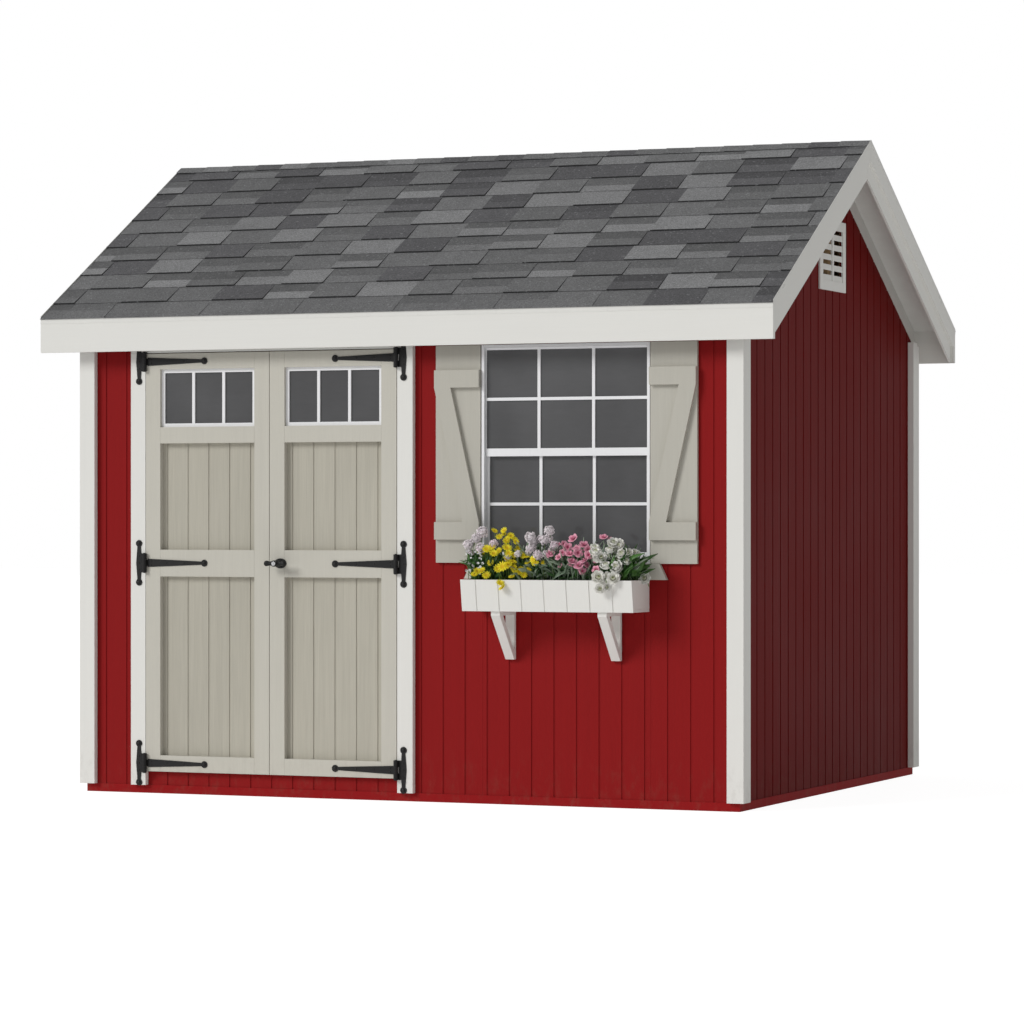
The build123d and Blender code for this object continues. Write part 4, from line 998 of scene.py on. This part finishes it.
class SHED_OT_roses(ShedPiece, bpy.types.Operator):
    """Plant the white roses: four rings of cupped petals closing on a green heart"""

    bl_idname = "shed.roses"
    bl_label = "White Roses"

    def execute(self, context):
        size = context.scene.shed_planting.rose
        rng = np.random.default_rng(57)
        flower = Sheaf()
        for number, width, cup, tilt, scale, rise in (
                (7, 0.44, 0.55, 0.05, 1.00, -0.12), (6, 0.42, 0.65, 0.38, 0.86, -0.04),
                (6, 0.40, 0.70, 0.72, 0.68, 0.02), (5, 0.38, 0.60, 1.02, 0.50, 0.06)):
            ring = whorl(petal(width, cup, 0.02, 0.06, 5, 5), number, tilt, number * 0.7, scale, rise)
            flower.add(ring, (0, 0, 0))
        flower.add(revolved(((0, -0.1), (0.16, 0.05), (0.19, 0.25), (0.10, 0.38), (0, 0.42)), 8), (0, 0, 0))
        shape = flower.shape()
        tints = graded(shape, (0.58, 0.62, 0.34), (0.95, 0.94, 0.89), 0.10, 0.36)
        table = with_buds(ROSES, rng, 12, 0.8)
        heads = from_box(table)
        ways = look(rng, len(heads), 0.35)
        low = heads[:, 2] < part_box("box_boards")[1].z + 0.02
        ways[low] = np.array((0.35, -1.0, 0.15)) + rng.normal(0, 0.2, (low.sum(), 3))
        sheaf = bloom_patch(heads, rng, shape, tints, table[:, 3] * size, ways=ways)
        plant("rose", "plant_roses", sheaf, 0.6, rng, heads, (0.16, 0.24, 0.09), 0.0018, (
            ((590, 735), 220, 0.085, 0.13, GREEN, 0.45, 0.9, 0.040),
            ((600, 740), 110, 0.080, 0.06, SILVER, 0.8, 0.6, 0.050)))
        return {"FINISHED"}


# Flower heads: along the box, back from its front face and up from its rim in millimetres, then size
DAISIES = (
    (130, 60, 202, 0.8), (170, 70, 204, 0.8), (150, 66, 178, 0.8), (205, 62, 182, 0.8), (225, 66, 158, 0.75),
    (185, 58, 160, 0.85), (108, 30, 127, 1.0), (143, 25, 108, 1.0), (200, 30, 130, 1.15), (212, 20, 110, 0.9),
    (190, 8, 55, 1.15), (215, 10, 60, 1.1), (170, 6, 46, 1.0), (232, 16, 74, 0.95), (95, 10, 36, 0.95),
    (75, 6, 34, 0.9), (118, 4, 18, 0.95), (186, -8, -14, 0.95), (196, -10, -34, 0.9), (262, 10, 30, 0.9),
    (245, 20, 40, 0.85), (318, 30, 84, 0.85), (330, 26, 68, 0.85), (285, 34, 92, 0.8), (268, 40, 100, 0.7),
    (238, 46, 118, 0.8), (160, 40, 120, 0.8), (125, 34, 70, 0.8), (205, 14, 84, 0.9), (60, 8, 20, 0.8))
POMPOMS = (
    (80, 50, 198, 1.1, 0.3), (52, 44, 172, 0.9, 0.2), (14, 52, 146, 0.95, 0.2), (80, 34, 132, 0.9, 0.8),
    (132, 48, 148, 0.85, 1.0), (298, 50, 176, 1.05, 0.2), (378, 60, 204, 1.0, 0.2), (356, 60, 166, 0.9, 0.3),
    (300, 46, 130, 0.95, 0.4), (404, 54, 140, 0.95, 1.0), (340, 30, 104, 0.9, 0.7), (206, 24, 92, 0.7, 0.1),
    (250, 30, 108, 0.7, 0.1), (372, 34, 108, 0.7, 0.6), (22, 60, 110, 0.7, 0.3))
PINKS = (
    (396, 30, 108, 1.0), (490, 50, 170, 1.15), (470, 36, 136, 1.05), (540, 40, 144, 1.1), (482, 24, 108, 1.05),
    (522, 20, 112, 1.1), (500, 12, 76, 1.05), (530, 10, 60, 1.15), (556, 16, 80, 1.1), (566, 30, 104, 1.0),
    (620, 60, 176, 0.95), (606, 12, 44, 0.9), (560, 36, 128, 0.9), (434, 26, 94, 0.8), (512, 34, 128, 0.9),
    (450, 44, 150, 0.7))
ROSES = (
    (598, 26, 108, 1.05), (626, 20, 92, 1.0), (672, 40, 146, 1.1), (706, 48, 146, 1.0), (716, 40, 108, 1.05),
    (650, 12, 52, 1.05), (702, 14, 52, 1.15), (618, 0, 10, 1.15), (688, 0, 6, 1.1), (632, -12, -34, 0.85),
    (664, -14, -24, 0.7), (742, 90, 102, 1.05), (736, 74, 66, 0.95), (776, 130, 8, 1.05), (690, 30, 80, 0.9),
    (660, 34, 118, 0.9), (730, 36, 72, 0.8), (588, 40, 130, 0.8))


class SHED_OT_screws(ShedPiece, bpy.types.Operator):
    """Set the domed bolts and slotted screws that hold the hinges"""

    bl_idname = "shed.screws"
    bl_label = "Hinge Screws"

    def execute(self, context):
        coat = bpy.data.materials["black_coat"]
        dome = revolved(((0, -0.001), (0.0085, -0.001), (0.0085, 0.0008), (0.0066, 0.0030), (0.0030, 0.0043),
                         (0, 0.0047)), 14)
        screw = revolved(((0, -0.001), (0.0042, -0.001), (0.0042, 0.0004), (0.0028, 0.0014), (0, 0.0016)), 10)
        outward = facing(np.array(((0.0, -1.0, 0.0),)), np.zeros(1))
        joints = {joint["name"]: joint for joint in frame["joints"]}
        for side, joint, away in (("left", "left_door_swing", 1), ("right", "right_door_swing", -1)):
            hinge_x = joints[joint]["pos_m"][0]
            strap_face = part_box("left_door_frame")[0].y - PLATE_T
            jamb_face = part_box("door_casing")[0].y - PLATE_T
            tips = np.array([(hinge_x + away * STRAP_TIP, strap_face, z) for z in HINGE_HEIGHTS])
            along = np.array([
                (hinge_x + away * d, strap_face, z + s) for z in HINGE_HEIGHTS
                for d, s in ((0.030, 0.008), (0.030, -0.008), (0.105, 0.0), (0.190, 0.0))])
            leaf_x = hinge_x - away * LEAF_MIDDLE
            balls, plate = [
                np.array([(leaf_x, jamb_face, z + s) for z in HINGE_HEIGHTS for s in steps])
                for steps in ((-LEAF_BALL, LEAF_BALL), (-0.030, 0.0, 0.030))]
            for name, body, big, small in (
                    (f"{side}_strap_screws", f"{side}_door", tips, along),
                    (f"{side}_jamb_screws", "shell", balls, plate)):
                sheaf = Sheaf()
                sheaf.copies(dome, big, np.repeat(outward, len(big), 0), 1.0, np.zeros((len(big), 3)))
                sheaf.copies(screw, small, np.repeat(outward, len(small), 0), 1.0, np.zeros((len(small), 3)))
                sheaf.build(name, [coat], body, "black_hardware")
        return {"FINISHED"}


class SHED_OT_stage(ShedPiece, bpy.types.Operator):
    """Set up the camera, the pale floor and the soft studio light"""

    bl_idname = "shed.stage"
    bl_label = "Stage"

    def execute(self, context):
        stage = context.scene.shed_stage
        scene = context.scene
        camera = bpy.data.cameras.new("camera")
        camera.lens = stage.lens * 1000
        camera.sensor_width = 36.0
        camera.shift_y = 0.0046
        camera.clip_end = 200.0
        rig = bpy.data.objects.new("camera", camera)
        rig.location = (6.6137, -15.6737, 1.2123)
        rig.rotation_euler = (radians(90), 0, radians(22.891))
        scene.collection.objects.link(rig)
        scene.camera = rig
        key = bpy.data.lights.new("key", "SUN")
        key.energy = stage.key
        key.angle = radians(24)
        lamp = bpy.data.objects.new("key", key)
        lamp.rotation_euler = (radians(60), 0, radians(-38))
        scene.collection.objects.link(lamp)
        floor = Sheaf()
        x, y = np.meshgrid(np.linspace(-60, 60, 9), np.linspace(-60, 60, 9), indexing="ij")
        top = np.stack((x, y, np.zeros_like(x) - 0.001), -1)
        floor.add(closed_sheet(top, top - np.array((0, 0, 0.05))), (1, 1, 1))
        cloth = Finish("studio_floor", Specular_IOR_Level=0.1, Emission_Strength=0.275)
        soft = cloth.scaled(tuple(stage.floor), 0.99 + cloth.noise((0.7, 0.7, 0.7), 2, 0.5) * 0.02)
        ground = floor.build("studio_floor", [cloth.set(Base_Color=soft, Emission_Color=soft)], None, None)
        lit = cloth.node("ShaderNodeEmission", None, {"Color": (1.0, 1.0, 1.0, 1.0), "Strength": 1.22})
        straight = cloth.node("ShaderNodeLightPath", None, None, "Is Camera Ray") * 0.70
        plain = Wire(cloth, cloth.shader.outputs[0])
        shown = cloth.node("ShaderNodeMixShader", None, {0: straight, 1: plain, 2: lit})
        cloth.node("ShaderNodeOutputMaterial", {"is_active_output": True}, {"Surface": shown})
        world = bpy.data.worlds.new("studio")
        world.use_nodes = True
        net = Net(world.node_tree)
        seen = net.node("ShaderNodeLightPath", None, None, "Is Camera Ray")
        dim = net.node("ShaderNodeBackground", None, {"Color": (1.0, 1.0, 1.0, 1.0), "Strength": stage.fill})
        white = net.node("ShaderNodeBackground", None, {"Color": (1.0, 1.0, 1.0, 1.0), "Strength": 1.0})
        both = net.node("ShaderNodeMixShader", None, {0: seen, 1: dim, 2: white})
        net.node("ShaderNodeOutputWorld", None, {"Surface": both})
        scene.world = world
        scene.view_settings.view_transform = "Standard"
        return {"FINISHED"}


class SHED_PT_panel(bpy.types.Panel):
    """Lists the pieces of the shed"""

    bl_idname = "SHED_PT_panel"
    bl_label = "Garden Shed"
    bl_space_type = "VIEW_3D"
    bl_region_type = "UI"
    bl_category = "Shed"

    def draw(self, context):
        for settings in GROUPS:
            group = getattr(context.scene, settings)
            box = self.layout.box()
            for name in group.bl_rna.properties.keys():
                if name not in ("name", "rna_type"):
                    box.prop(group, name)
        for operator in OPERATORS:
            self.layout.operator(operator.bl_idname)


GROUPS = {
    "shed_paints": ShedPaints, "shed_roofing": ShedRoofing, "shed_planting": ShedPlanting,
    "shed_stage": ShedStage}
OPERATORS = (
    SHED_OT_stage, SHED_OT_finishes, SHED_OT_shingles, SHED_OT_ridge_caps, SHED_OT_soil, SHED_OT_greens,
    SHED_OT_daisies, SHED_OT_lilacs, SHED_OT_pinks, SHED_OT_roses, SHED_OT_screws)


def register():
    """Adds the shed's settings, operators and panel."""
    for settings, group in GROUPS.items():
        bpy.utils.register_class(group)
        setattr(bpy.types.Scene, settings, bpy.props.PointerProperty(type=group))
    for kind in (*OPERATORS, SHED_PT_panel):
        bpy.utils.register_class(kind)


def unregister():
    """Takes them away again."""
    for kind in (SHED_PT_panel, *reversed(OPERATORS)):
        bpy.utils.unregister_class(kind)
    for settings, group in reversed(GROUPS.items()):
        delattr(bpy.types.Scene, settings)
        bpy.utils.unregister_class(group)


def main():
    """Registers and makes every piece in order."""
    register()
    for operator in OPERATORS:
        group, name = operator.bl_idname.split(".")
        getattr(getattr(bpy.ops, group), name)()


if __name__ == "__main__":
    main()
